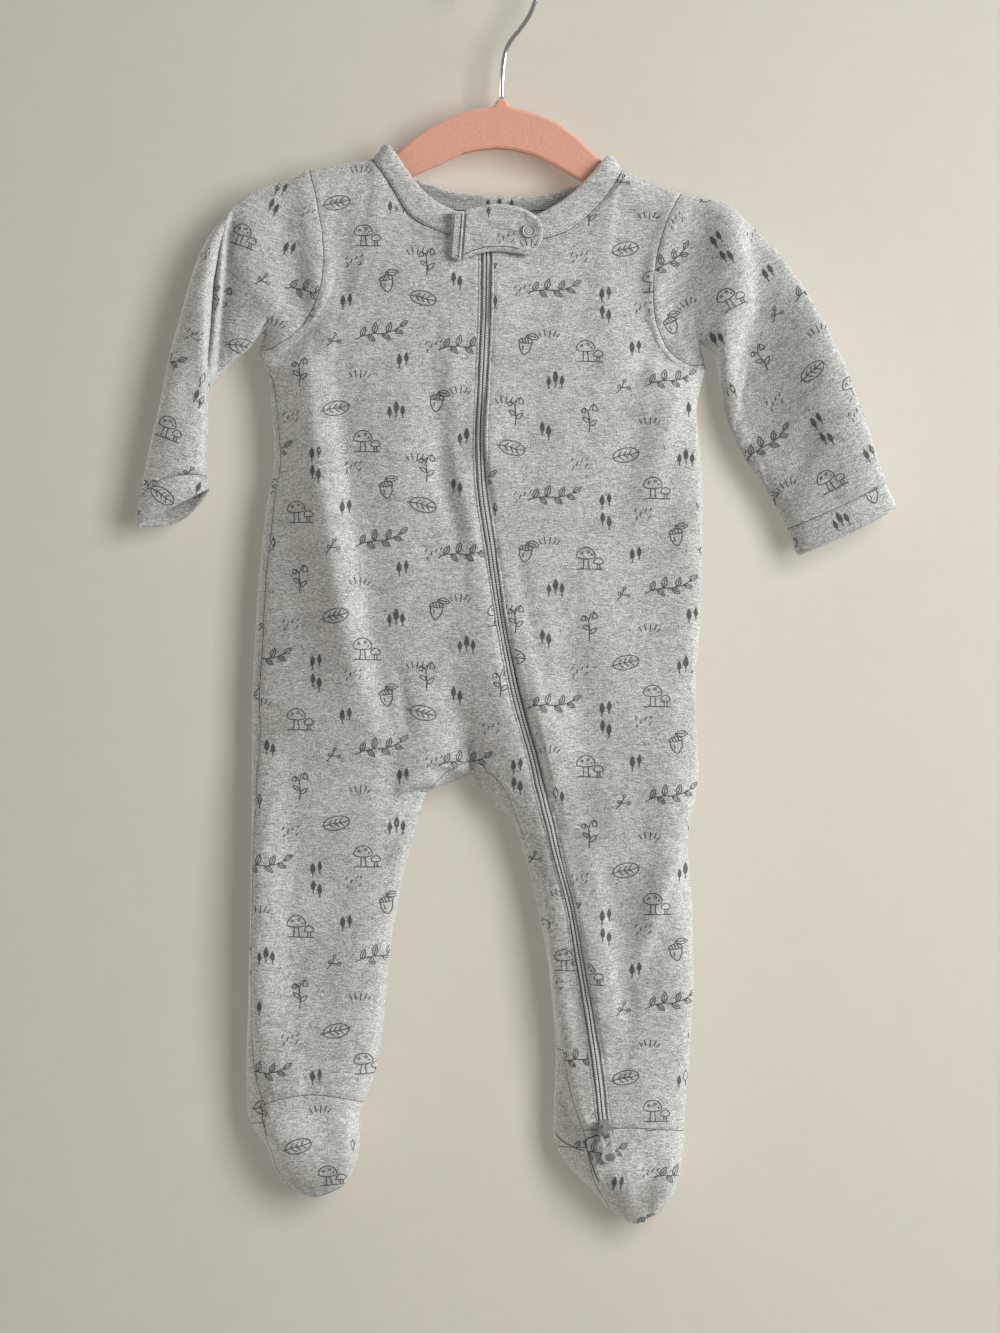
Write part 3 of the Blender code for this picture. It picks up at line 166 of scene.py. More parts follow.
def subdivided(points, faces, owners, levels, crease=0.0):
    """Catmull-Clark surface of a cage, as points, faces (n x 4) and owners."""
    mesh = bpy.data.meshes.new("cage")
    mesh.from_pydata([tuple(p) for p in points], [], faces)
    mesh.polygons.foreach_set("material_index", owners)
    if crease:
        sides = {}
        for face in mesh.polygons:
            for key in face.edge_keys:
                sides.setdefault(key, []).append(face.normal)
        sharp = [crease if len(sides[e.key]) < 2 or sides[e.key][0].dot(sides[e.key][1]) < .5 else 0
                 for e in mesh.edges]
        mesh.attributes.new("crease_edge", "FLOAT", "EDGE").data.foreach_set("value", sharp)
    cage = bpy.data.objects.new("cage", mesh)
    bpy.context.scene.collection.objects.link(cage)
    rounding = cage.modifiers.new("rounding", "SUBSURF")
    rounding.levels = levels
    rounding.boundary_smooth = "PRESERVE_CORNERS"
    dense = cage.evaluated_get(bpy.context.evaluated_depsgraph_get()).to_mesh()
    co = np.empty(len(dense.vertices) * 3)
    dense.vertices.foreach_get("co", co)
    loops = np.empty(len(dense.loops), dtype=np.int64)
    dense.loops.foreach_get("vertex_index", loops)
    who = np.empty(len(dense.polygons), dtype=np.int64)
    dense.polygons.foreach_get("material_index", who)
    bpy.data.objects.remove(cage)
    bpy.data.meshes.remove(mesh)
    return co.reshape(-1, 3), loops.reshape(-1, 4), who


def fitted_cage(points, faces, owners):
    """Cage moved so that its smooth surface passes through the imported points."""
    cage = points.copy()
    for share in (.9, .8, .7):
        smooth = subdivided(cage, faces, owners, 2)[0][:len(points)]
        cage += (points - smooth) * share
    return cage


# ------------------------------------------------------------------ folds
# Side, height, width to the left and to the right of the line, then its points (x, z) from the
# top down. Ridges are positive, troughs negative.
FOLDS = (
    ("f", 4.2, 19, 6.2, (-118.8, -233.4), (-115.2, -263.4), (-111, -293.4), (-106.8, -323.4),
     (-102, -356.4), (-96.6, -389.4), (-90.6, -419.4), (-84, -449.4), (-76.8, -470.4)),
    ("f", -4, 5.8, 14, (-99.6, -245.4), (-96.6, -275.4), (-93, -305.4), (-89.4, -335.4),
     (-85.2, -365.4), (-79.2, -401.4), (-72, -437.4), (-66, -461.4)),
    ("f", 2.6, 30, 40, (-110.4, -245.4), (-103.2, -299.4), (-94.2, -365.4), (-84, -425.4),
     (-76.2, -473.4)),
    ("f", -.8, 10, 12, (-131.4, -287.4), (-128.4, -341.4), (-123.6, -401.4), (-118.8, -449.4)),
    ("f", 2.8, 8, 11, (-119.4, -132.6), (-118.2, -149.4), (-116.4, -167.4), (-112.8, -188.4),
     (-108.6, -209.4), (-109.2, -228.6)),
    ("f", 1, 5, 6, (-87, -149.4), (-87, -173.4), (-90, -203.4)),
    ("f", 3.4, 15, 15, (-154.8, -152.4), (-151.8, -179.4), (-147, -200.4), (-140.4, -216.6)),
    ("f", -1.5, 17, 9, (-124.8, -147), (-123, -179.4), (-122.4, -209.4), (-122.4, -227.4)),
    ("f", -6.2, 3, 4.6, (-163.8, -162.6), (-168.6, -179.4), (-171, -201.6), (-172.8, -227.4),
     (-174.6, -249)),
    ("f", 1, 6, 1.6, (-168, -157.8), (-174.6, -177), (-177.6, -201.6), (-178.8, -227.4),
     (-178.8, -252.6), (-180, -293.4)),
    ("f", 2.2, 6, 14, (-187.2, -173.4), (-196.8, -215.4), (-204, -257.4), (-210, -299.4)),
    ("f", 2, 6, 9, (-147.6, -208.2), (-140.4, -210), (-135, -217.2), (-132.6, -228.6),
     (-133.8, -241.8)),
    ("f", 1.9, 4, 5, (-211.2, -323.4), (-195.6, -311.4), (-181.2, -310.2)),
    ("f", 2.4, 6, 6, (-30.6, -296.4), (-26.4, -311.4), (-21.6, -335.4), (-17.4, -359.4),
     (-13.2, -389.4)),
    ("f", 3, 12, 9, (-13.2, -389.4), (-6.6, -419.4), (0, -449.4), (8.4, -479.4), (16.2, -509.4),
     (22.8, -539.4)),
    ("f", -2, 7, 5.5, (-36.6, -284.4), (-35.4, -311.4), (-30, -335.4), (-22.8, -356.4)),
    ("f", 1.6, 8, 5, (-30, -227.4), (-30, -257.4), (-27.6, -287.4)),
    ("f", 2.2, 1.4, 14, (-6.6, -186.6), (-6.6, -209.4), (-8.4, -230.4)),
    ("f", 3, 1.4, 12, (-9, -260.4), (-9.6, -281.4), (-9, -302.4), (-6, -323.4)),
    ("f", 2.6, 1.4, 11, (-1.8, -365.4), (1.2, -389.4), (6, -413.4), (13.8, -443.4), (21, -470.4),
     (27.6, -497.4), (32.4, -516.6)),
    ("f", -1.2, 2.6, 5, (9.6, -367.2), (15, -398.4), (20.4, -419.4), (26.4, -443.4), (30, -458.4)),
    ("f", 3, 2, 25, (20.4, -452.4), (27, -479.4), (33, -506.4)),
    ("f", 2.4, 2, 8, (36, -536.4), (43.2, -563.4), (49.8, -593.4), (55.8, -623.4), (60, -653.4)),
    ("f", 2.8, 9, 6, (50.4, -530.4), (54.6, -557.4), (58.8, -587.4), (63.6, -620.4), (72, -653.4)),
    ("f", 3.6, 15, 8, (100.2, -264.6), (94.8, -293.4), (88.8, -320.4), (82.8, -342.6)),
    ("f", -2.4, 7, 7, (114, -246.6), (99.6, -239.4), (84, -246.6), (76.8, -260.4)),
    ("f", -1.6, 12, 10, (82.8, -269.4), (78, -311.4), (73.2, -341.4)),
    ("f", 2.2, 6, 8, (104.4, -142.2), (100.8, -164.4), (91.8, -188.4), (87.6, -209.4)),
    ("f", -1.2, 8, 10, (120, -152.4), (120, -173.4), (115.2, -200.4)),
    ("f", 1.35, 8, 8, (69.6, -137.4), (82.8, -149.4), (90, -159)),
    ("f", 1.6, 22, 10, (133.2, -149.4), (137.4, -170.4), (139.8, -186.6), (140.4, -207)),
    ("f", -7, 8, 30, (141.6, -137.4), (150, -166.2), (154.2, -191.4), (154.8, -215.4),
     (150.6, -233.4), (147.6, -246.6)),
    ("f", -3.6, 8, 30, (150, -230.4), (146.4, -246.6), (145.8, -269.4), (153.6, -299.4)),
    ("f", 11, 27, 6, (142.8, -131.4), (163.8, -173.4), (183.6, -215.4), (199.2, -251.4),
     (213, -287.4), (226.8, -323.4), (232.8, -341.4)),
    ("f", 3, 8, 10, (111.6, -232.2), (118.8, -228), (124.8, -228.6)),
    ("f", -1.6, 8, 8, (186, -269.4), (182.4, -299.4), (172.8, -329.4)),
    ("f", 5.4, 5, 13, (-145.2, -491.4), (-145.8, -539.4), (-145.8, -599.4), (-144.6, -647.4),
     (-139.2, -674.4)),
    ("f", -4.4, 13, 36, (-122.4, -491.4), (-124.8, -539.4), (-123.6, -599.4), (-121.2, -653.4)),
    ("f", 4.8, 24, 5, (-62.4, -550.2), (-69.6, -575.4), (-73.8, -605.4), (-77.4, -635.4),
     (-82.8, -671.4)),
    ("f", -2.3, 4.5, 5, (-52.8, -511.2), (-61.2, -527.4), (-72, -545.4), (-94.2, -561),
     (-110.4, -569.4)),
    ("f", 2.4, 6, 3.6, (-44.4, -508.2), (-54.6, -533.4), (-62.4, -557.4), (-75.6, -584.4),
     (-87.6, -597)),
    ("f", -1.8, 5, 5, (-69.6, -584.4), (-79.2, -602.4), (-91.2, -623.4)),
    ("f", -1.9, 6, 6, (-61.2, -476.4), (-66, -497.4), (-69.6, -518.4)),
    ("f", -1.4, 3, 3, (-62.4, -428.4), (-58.2, -449.4), (-55.8, -476.4)),
    ("f", 2.4, 7, 12, (-136.8, -692.4), (-132, -713.4), (-123.6, -732.6)),
    ("f", -1.8, 8, 9, (-108, -695.4), (-103.2, -716.4), (-103.2, -732.6)),
    ("f", 1.6, 8, 4, (-93.6, -695.4), (-91.2, -713.4), (-93.6, -730.2)),
    ("f", 9, 30, 3, (112.2, -443.4), (112.2, -497.4), (108.6, -534.6)),
    ("f", 7.4, 19, 3, (112.8, -266.4), (114.6, -317.4), (115.2, -365.4), (114.6, -413.4),
     (112.8, -443.4)),
    ("f", 2.2, 26, 6, (91.8, -203.4), (92.4, -233.4), (90, -260.4)),
    ("f", 4.4, 12, 5, (105, -533.4), (95.4, -562.2), (87.6, -587.4), (81, -608.4)),
    ("f", 4.6, 16, 3.5, (111.6, -569.4), (111.6, -617.4), (109.8, -680.4)),
    ("f", 3.6, 3, 12, (26.4, -557.4), (30.6, -593.4), (34.8, -629.4), (38.4, -665.4)),
    ("f", -1.6, 4, 6, (39.6, -602.4), (44.4, -629.4), (49.2, -665.4)),
    ("f", 1.8, 7, 8, (80.4, -605.4), (82.8, -635.4), (79.2, -671.4)),
    ("f", -2, 5, 8, (82.8, -719.4), (90, -732.6), (82.8, -747)),
    ("f", 2, 6, 8, (66, -732.6), (72, -747), (80.4, -759)),
    ("f", 2.7, 12, 6, (103.2, -707.4), (104.4, -728.4), (97.2, -747)),
    ("f", -2.2, 2.4, 4, (36, -680.4), (38.4, -695.4), (48, -713.4)),
    # the back
    ("b", 3, 14, 12, (-100, -220), (-96, -300), (-84, -380), (-70, -450)),
    ("b", -3, 9, 14, (-38, -190), (-44, -270), (-40, -350), (-46, -430)),
    ("b", 2.4, 12, 8, (10, -200), (6, -280), (12, -360), (8, -430)),
    ("b", -2.7, 8, 12, (52, -200), (60, -290), (56, -370), (62, -440)),
    ("b", 2.2, 9, 9, (92, -258), (88, -320), (92, -400)),
    ("b", -2, 5, 8, (-144, -256), (-124, -268), (-96, -280)),
    ("b", -1.9, 5, 8, (118, -260), (96, -272), (74, -280)),
    ("b", -2.4, 5, 8, (-22, -478), (-48, -496), (-76, -520)),
    ("b", 2, 7, 7, (-30, -468), (-58, -486), (-92, -508)),
    ("b", -2.4, 5, 8, (-8, -482), (22, -500), (48, -528)),
    ("b", 2, 7, 7, (0, -470), (32, -488), (64, -510)),
    ("b", -2.2, 8, 8, (-110, -540), (-104, -600), (-112, -660)),
    ("b", 2.2, 8, 9, (-88, -550), (-84, -610), (-92, -664)),
    ("b", -2.2, 8, 8, (84, -560), (78, -620), (82, -680)),
    ("b", 2, 8, 8, (54, -570), (52, -630), (56, -690)),
    ("b", -2, 4, 5, (-146, -690), (-120, -694), (-92, -688)),
    ("b", -2, 4, 5, (40, -704), (70, -708), (104, -702)),
    ("b", -1.9, 4, 6, (-136, -214), (-150, -208), (-162, -216)),
    ("b", 1.6, 5, 6, (-140, -196), (-156, -190), (-170, -202)),
    ("b", -1.9, 4, 6, (108, -222), (122, -212), (136, -220)),
    ("b", 1.8, 5, 6, (112, -204), (128, -194), (146, -206)),
    ("b", -1.9, 5, 7, (-190, -220), (-194, -262), (-198, -300)),
    ("b", 1.8, 6, 6, (-204, -234), (-206, -270), (-210, -304)),
    ("b", -1.8, 6, 7, (170, -228), (182, -258), (192, -290)),
    ("b", 1.6, 6, 6, (192, -248), (204, -278), (212, -304)),
)


def fold_relief(x, z, side, folds=FOLDS):
    """Height of all the folds of one side at arrays of places."""
    total = np.zeros_like(x)
    for fold in folds:
        if fold[0] != side:
            continue
        height, left, right = fold[1:4]
        line = np.array(fold[4:], float)
        steps = np.linalg.norm(np.diff(line, axis=0), axis=1)
        starts = np.concatenate(([0], np.cumsum(steps)))
        best = np.full(x.shape, 1e9)
        run = np.zeros_like(x)
        signed = np.zeros_like(x)
        for (ax, az), (bx, bz), step, start in zip(line, line[1:], steps, starts):
            ux, uz = (bx - ax) / step, (bz - az) / step
            t = np.clip((x - ax) * ux + (z - az) * uz, 0, step)
            dx, dz = x - ax - t * ux, z - az - t * uz
            distance = np.hypot(dx, dz)
            nearer = distance < best
            best = np.where(nearer, distance, best)
            run = np.where(nearer, start + t, run)
            signed = np.where(nearer, ux * dz - uz * dx, signed)
        width = np.where(signed > 0, right, left)
        share = run / starts[-1]
        fade = np.sin(np.pi * np.clip(share * .9 + .05, 0, 1)) ** .6
        total += height * fade * np.exp(-(best / width) ** 2)
    return total


def undulation(x, z, seed, amplitude, shortest, longest, waves=26):
    """Sum of seeded sine waves, a slow uneven swelling of the cloth."""
    rng = random.Random(seed)
    total = np.zeros_like(x)
    for _ in range(waves):
        length = math.exp(rng.uniform(math.log(shortest), math.log(longest)))
        turn = rng.uniform(0, math.pi)
        phase = rng.uniform(0, 2 * math.pi)
        total += np.sin((x * math.cos(turn) + z * math.sin(turn)) * 2 * math.pi / length + phase)
    return total * amplitude / math.sqrt(waves / 2)


def vertex_normals(points, quads):
    diagonal_a = points[quads[:, 2]] - points[quads[:, 0]]
    diagonal_b = points[quads[:, 3]] - points[quads[:, 1]]
    face_normals = np.cross(diagonal_a, diagonal_b)
    normals = np.zeros_like(points)
    for corner in range(4):
        for axis in range(3):
            normals[:, axis] += np.bincount(quads[:, corner], face_normals[:, axis], len(points))
    return normals / (np.linalg.norm(normals, axis=1, keepdims=True) + 1e-12)


def edges_of(quads):
    pairs = np.vstack([quads[:, (0, 1)], quads[:, (1, 2)], quads[:, (2, 3)], quads[:, (3, 0)]])
    owners = np.tile(np.arange(len(quads)), 4)
    return np.sort(pairs, axis=1), owners


def relaxed(values, quads, rounds, keep):
    """Values averaged with their neighbours', apart from the points to keep."""
    pairs, _ = edges_of(quads)
    count = np.bincount(pairs.ravel(), minlength=len(values))
    for _ in range(rounds):
        total = np.bincount(pairs[:, 0], values[pairs[:, 1]], len(values))
        total += np.bincount(pairs[:, 1], values[pairs[:, 0]], len(values))
        values = np.where(keep, values, .5 * values + .5 * total / np.maximum(count, 1))
    return values


def seam_points(quads, who):
    """Indices of the points on a seam between two panels."""
    pairs, owners = edges_of(quads)
    key = pairs[:, 0] * PAIR_BASE + pairs[:, 1]
    order = np.argsort(key, kind="stable")
    key, owners = key[order], owners[order]
    same = key[1:] == key[:-1]
    crossing = same & (who[owners[1:]] != who[owners[:-1]])
    sorted_pairs = pairs[order][1:][crossing]
    sides = np.stack([who[owners[1:]][crossing], who[owners[:-1]][crossing]], axis=1)
    return sorted_pairs, np.sort(sides, axis=1)


def distance_to(points, targets, reach):
    """Distance of each point to the nearest target point, up to reach."""
    tree = KDTree(len(targets))
    for n, place in enumerate(targets):
        tree.insert(place, n)
    tree.balance()
    found = np.full(len(points), reach)
    nearest = np.zeros(len(points), dtype=np.int64)
    for n, place in enumerate(points):
        _, index, distance = tree.find(place)
        if distance < reach:
            found[n] = distance
            nearest[n] = index
    return found, nearest


def suit_surface():
    """The sleeper's cloth with its folds, as points in millimetres, quads and owners."""
    points, faces, owners = welded_suit()
    cage = fitted_cage(points, faces, owners)
    dense, quads, who = subdivided(cage, faces, owners, LEVELS)
    pairs, _ = edges_of(quads)
    unique, uses = np.unique(pairs[:, 0] * PAIR_BASE + pairs[:, 1], return_counts=True)
    free = np.zeros(len(dense), bool)
    alone = unique[uses == 1]
    free[alone // PAIR_BASE] = True
    free[alone % PAIR_BASE] = True
    in_band = np.zeros(len(dense), bool)
    for name in BANDS:
        in_band[quads[who == CLOTH.index(name)].ravel()] = True
    dense[:, 1] = relaxed(dense[:, 1], quads, 4 * LEVELS, free | in_band)
    normals = vertex_normals(dense, quads)
    facing = np.abs(normals[:, 1])
    front = normals[:, 1] < 0
    x, z = dense[:, 0], dense[:, 2]
    lift = np.where(front, fold_relief(x, z, "f"), fold_relief(x, z, "b"))
    lift += np.where(front, undulation(x, z, 3, .34, 22, 90), undulation(x, z, 4, .34, 22, 90))
    lift += undulation(x, z + dense[:, 1], 5, .09, 7, 16)
    lift *= np.clip(facing * 1.6 - .35, 0, 1) * np.where(in_band, .25, 1)
    seams, _ = seam_points(quads, who)
    targets = dense[np.unique(seams)]
    distance, _ = distance_to(dense, [tuple(p) for p in targets], 12.0)
    lift += -.42 * np.exp(-(distance / 1.1) ** 2) + .18 * np.exp(-((distance - 3.2) / 1.7) ** 2)
    dense += normals * lift[:, None]
    return dense, quads, who


# ------------------------------------------------------------------ materials
def new_material(name):
    made = bpy.data.materials.new(name)
    made.use_nodes = True
    return made, made.node_tree.nodes, made.node_tree.links


def node(nodes, kind, **inputs):
    made = nodes.new(kind)
    for key, value in inputs.items():
        if key in made.inputs:
            made.inputs[key].default_value = value
        else:
            setattr(made, key, value)
    return made


def marl_material(name, grain=0):
    """Heather grey cotton interlock: short light and dark fibres, mostly across the cloth."""
    made, nodes, links = new_material(name)
    shader = nodes["Principled BSDF"]
    place = node(nodes, "ShaderNodeTexCoord")
    stretch = node(nodes, "ShaderNodeMapping")
    stretch.inputs["Scale"].default_value = (.62, .9, 1.15)
    turned = node(nodes, "ShaderNodeMapping")
    turned.inputs["Rotation"].default_value = (0, math.radians(grain), 0)
    slubs = node(nodes, "ShaderNodeMapping")
    slubs.inputs["Scale"].default_value = (.20, .5, 1.25)
    links.new(place.outputs["Object"], turned.inputs["Vector"])
    links.new(turned.outputs["Vector"], stretch.inputs["Vector"])
    links.new(turned.outputs["Vector"], slubs.inputs["Vector"])
    total = None
    for scale, detail, amount, along in ((2300, 2, 1.15, stretch), (1250, 2, .52, slubs),
                                         (900, 2, .25, stretch), (330, 2, .14, slubs),
                                         (50, 2, .08, stretch)):
        noise = node(nodes, "ShaderNodeTexNoise", Scale=scale, Detail=detail, Roughness=.6)
        links.new(along.outputs["Vector"], noise.inputs["Vector"])
        shift = node(nodes, "ShaderNodeMath", operation="MULTIPLY_ADD")
        shift.inputs[1].default_value = amount
        shift.inputs[2].default_value = -amount / 2
        links.new(noise.outputs["Fac"], shift.inputs[0])
        if total is None:
            total = shift.outputs[0]
        else:
            add = node(nodes, "ShaderNodeMath", operation="ADD")
            links.new(total, add.inputs[0])
            links.new(shift.outputs[0], add.inputs[1])
            total = add.outputs[0]
    centre = node(nodes, "ShaderNodeMath", operation="ADD")
    centre.inputs[1].default_value = .5
    links.new(total, centre.inputs[0])
    ramp = node(nodes, "ShaderNodeValToRGB")
    ramp.color_ramp.elements[0].position = .30
    ramp.color_ramp.elements[0].color = (.19, .192, .185, 1)
    ramp.color_ramp.elements[1].position = .70
    ramp.color_ramp.elements[1].color = (.74, .735, .70, 1)
    middle = ramp.color_ramp.elements.new(.5)
    middle.color = (.44, .44, .418, 1)
    links.new(centre.outputs[0], ramp.inputs["Fac"])
    links.new(ramp.outputs["Color"], shader.inputs["Base Color"])
    knit = node(nodes, "ShaderNodeTexNoise", Scale=1500, Detail=2, Roughness=.7)
    links.new(stretch.outputs["Vector"], knit.inputs["Vector"])
    nap = node(nodes, "ShaderNodeTexNoise", Scale=420, Detail=3, Roughness=.6)
    links.new(stretch.outputs["Vector"], nap.inputs["Vector"])
    both = node(nodes, "ShaderNodeMath", operation="ADD")
    links.new(knit.outputs["Fac"], both.inputs[0])
    links.new(nap.outputs["Fac"], both.inputs[1])
    bump = node(nodes, "ShaderNodeBump", Strength=.6, Distance=.0006)
    links.new(both.outputs[0], bump.inputs["Height"])
    links.new(bump.outputs["Normal"], shader.inputs["Normal"])
    shader.inputs["Roughness"].default_value = .95
    shader.inputs["Specular IOR Level"].default_value = .15
    shader.inputs["Sheen Weight"].default_value = .25
    shader.inputs["Sheen Roughness"].default_value = .5
    return made


def plain_material(name, colour, roughness, metallic=0.0, bump=None, sheen=0.0):
    """One colour, with a fine grain where bump gives (scale, distance in metres, contrast)."""
    made, nodes, links = new_material(name)
    shader = nodes["Principled BSDF"]
    shader.inputs["Base Color"].default_value = (*colour, 1)
    shader.inputs["Roughness"].default_value = roughness
    shader.inputs["Metallic"].default_value = metallic
    shader.inputs["Sheen Weight"].default_value = sheen
    if bump:
        scale, distance, contrast = bump
        place = node(nodes, "ShaderNodeTexCoord")
        grain = node(nodes, "ShaderNodeTexNoise", Scale=scale, Detail=3, Roughness=.65)
        links.new(place.outputs["Object"], grain.inputs["Vector"])
        relief = node(nodes, "ShaderNodeBump", Strength=.6, Distance=distance)
        links.new(grain.outputs["Fac"], relief.inputs["Height"])
        links.new(relief.outputs["Normal"], shader.inputs["Normal"])
        ramp = node(nodes, "ShaderNodeValToRGB")
        ramp.color_ramp.elements[0].position = .32
        ramp.color_ramp.elements[0].color = tuple(c * (1 - contrast) for c in colour) + (1,)
        ramp.color_ramp.elements[1].position = .68
        ramp.color_ramp.elements[1].color = tuple(min(1, c * (1 + contrast)) for c in colour) + (1,)
        links.new(grain.outputs["Fac"], ramp.inputs["Fac"])
        links.new(ramp.outputs["Color"], shader.inputs["Base Color"])
    return made


# ------------------------------------------------------------------ building pieces
def add_piece(name, points, faces, look, body="garment", smooth=True):
    """A mesh piece from points in millimetres."""
    mesh = bpy.data.meshes.new(name)
    mesh.from_pydata([tuple(float(c) * MM for c in p) for p in points], [], faces)
    if smooth:
        mesh.shade_smooth()
    mesh.materials.append(look)
    made = bpy.data.objects.new(name, mesh)
    bpy.context.scene.collection.objects.link(made)
    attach(made, body)
    return made


def split_panels(dense, quads, who, looks):
    """One piece for each imported cloth node."""
    made = {}
    for number, name in enumerate(CLOTH):
        own = quads[who == number]
        used, flat = np.unique(own, return_inverse=True)
        faces = flat.reshape(-1, 4).tolist()
        piece = add_piece("knit_" + name, dense[used], faces, looks(name))
        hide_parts(name)
        made[name] = piece
    return made


# ------------------------------------------------------------------ lines that lie on the cloth
class Cloth:
    """The finished surface, to lay thread, print and trim on."""

    def __init__(self, points, quads, who, names=CLOTH):
        self.points, self.quads, self.who, self.names = points, quads, who, names
        self.tree = BVHTree.FromPolygons([Vector(p) for p in points], quads.tolist())
        self.normals = vertex_normals(points, quads)

    def nearest(self, place):
        """Place on the cloth, its outward normal and the name of its panel."""
        spot, _, index, _ = self.tree.find_nearest(Vector(place))
        corners = self.quads[index]
        weights = [1 / ((Vector(self.points[c]) - spot).length + .05) for c in corners]
        normal = Vector()
        for corner, weight in zip(corners, weights):
            normal += Vector(self.normals[corner]) * weight
        return spot, normal.normalized(), self.names[self.who[index]]

    def ray(self, place, direction, reach=60):
        """First hit of the cloth from a place: spot, normal and panel, or None."""
        spot, normal, index, _ = self.tree.ray_cast(Vector(place), Vector(direction), reach)
        if spot is None:
            return None
        return spot, normal, self.names[self.who[index]]

    def front(self, x, z):
        return self.ray((x, -90, z), (0, 1, 0), 140)


def chained(pairs):
    """Vertex pairs joined end to end into lines."""
    links = {}
    for a, b in pairs:
        links.setdefault(a, []).append(b)
        links.setdefault(b, []).append(a)
    left = {tuple(sorted(p)) for p in pairs}
    lines = []
    ends = [v for v, others in links.items() if len(others) != 2]
    for start in ends + list(links):
        while True:
            nexts = [o for o in links[start] if tuple(sorted((start, o))) in left]
            if not nexts:
                break
            line = [start]
            here = start
            while nexts:
                there = nexts[0]
                left.discard(tuple(sorted((here, there))))
                line.append(there)
                here = there
                if len(links[here]) != 2:
                    break
                nexts = [o for o in links[here] if tuple(sorted((here, o))) in left]
            lines.append(line)
    return lines


def seam_lines(cloth):
    """For each pair of panels, the lines along which they are sewn together."""
    pairs, sides = seam_points(cloth.quads, cloth.who)
    found = {}
    for pair, side in zip(pairs.tolist(), sides.tolist()):
        found.setdefault(tuple(side), []).append(tuple(pair))
    result = {}
    for (a, b), members in found.items():
        result[frozenset((cloth.names[a], cloth.names[b]))] = [
            [Vector(cloth.points[v]) for v in line] for line in chained(members)]
    return result


def resampled(line, step):
    """Points a step apart along a line."""
    lengths = [0.0]
    for a, b in zip(line, line[1:]):
        lengths.append(lengths[-1] + (b - a).length)
    count = max(2, int(round(lengths[-1] / step)) + 1)
    targets = np.linspace(0, lengths[-1], count)
    places = np.array([tuple(p) for p in line])
    return [Vector([float(np.interp(s, lengths, places[:, axis])) for axis in range(3)])
            for s in targets]


def tangents(line):
    return [(line[min(n + 1, len(line) - 1)] - line[max(n - 1, 0)]).normalized()
            for n in range(len(line))]


class Shape:
    """Points and faces of many small things that become one mesh."""

    def __init__(self):
        self.points, self.faces = [], []

    def tube(self, line, normals, radius, sides=6, flat=1.0):
        """Closed tube round a line; flat squeezes it towards the cloth."""
        if len(line) < 2:
            return
        base = len(self.points)
        for place, along, normal in zip(line, tangents(line), normals):
            across = along.cross(normal).normalized()
            for n in range(sides):
                angle = 2 * math.pi * n / sides
                self.points.append(place + across * (radius * math.cos(angle))
                                   + normal * (radius * flat * math.sin(angle)))
        for ring in range(len(line) - 1):
            for n in range(sides):
                m = (n + 1) % sides
                a, b = base + ring * sides, base + (ring + 1) * sides
                self.faces.append((a + n, b + n, b + m, a + m))
        self.faces.append(tuple(base + n for n in range(sides)))
        last = base + (len(line) - 1) * sides
        self.faces.append(tuple(last + sides - 1 - n for n in range(sides)))

    def piece(self, name, look, slot, body="garment", smooth=True):
        return add_piece(name, self.points, self.faces, look, body, smooth)


def laid(cloth, line, lift):
    """A line put down on the cloth, and the normals there."""
    places, normals = [], []
    for place in line:
        spot, normal, _ = cloth.nearest(place)
        places.append(spot + normal * lift)
        normals.append(normal)
    return places, normals


def beside(cloth, line, distance, panel):
    """The line moved sideways over the cloth by a distance, onto the given panel."""
    moved = []
    for place, along in zip(line, tangents(line)):
        _, normal, _ = cloth.nearest(place)
        across = along.cross(normal).normalized()
        if cloth.nearest(place + across * 2.5)[2] != panel:
            across = -across
        moved.append(place + across * distance)
    smooth = [moved[0]] + [(a + b * 2 + c) / 4 for a, b, c in zip(moved, moved[1:], moved[2:])]
    return smooth + [moved[-1]]


def add_stitches(shape, cloth, line, length=1.7, gap=1.0, radius=.2, lift=.08):
    """A row of lockstitches along a line."""
    run = resampled(line, length + gap)
    for a, b in zip(run, run[1:]):
        reach = (b - a) * (length / (length + gap))
        places, normals = laid(cloth, [a, a + reach * .5, a + reach], lift)
        places[0] -= normals[0] * .16
        places[2] -= normals[2] * .16
        shape.tube(places, normals, radius, 5)


def sew(cloth, shadow, thread):
    """Seam lines and stitches of the whole suit; each seam line is a dark tube in the seam's ditch,
    partly the seam's own dark line and partly painted shade.
    """
    dark, light = Shape(), Shape()
    seams = seam_lines(cloth)
    for panels, lines in seams.items():
        if "zip" in panels:
            continue
        band = panels & set(BANDS)
        for line in lines:
            if len(line) < 4:
                continue
            run = resampled(line, 1.5)
            places, normals = laid(cloth, run, -.06)
            # Painted shade, partly the seam's own dark line: a dark tube in the seam's ditch.
            dark.tube(places, normals, .30 if band else .27, 5)
            if band:
                owner = next(iter(band))
                add_stitches(light, cloth, beside(cloth, run, 1.5, owner), 1.2, .9, .19)
                if owner == "neckband":
                    other = next(iter(panels - band))
                    add_stitches(light, cloth, beside(cloth, run, 1.9, other), 1.4, 1.0, .15)
    side = seams.get(frozenset(("front_right", "back")), [])
    for line in side:
        if min(p.x for p in line) < -120 and len(line) > 40:
            run = resampled([p for p in line if -700 < p.z < -250], 2.0)
            add_stitches(light, cloth, beside(cloth, run, 1.6, "front_right"), 1.8, 1.1, .16)
    dark.piece("seam_lines", shadow, "marl_knit")
    light.piece("seam_stitches", thread, "marl_knit")
    return seams


# ------------------------------------------------------------------ zip
TOOTH_PITCH = 1.0
COIL_OFFSET = 1.04      # each row of the coil from the middle of the zip
TOOTH = (1.24, .58, .75)   # across, along and out


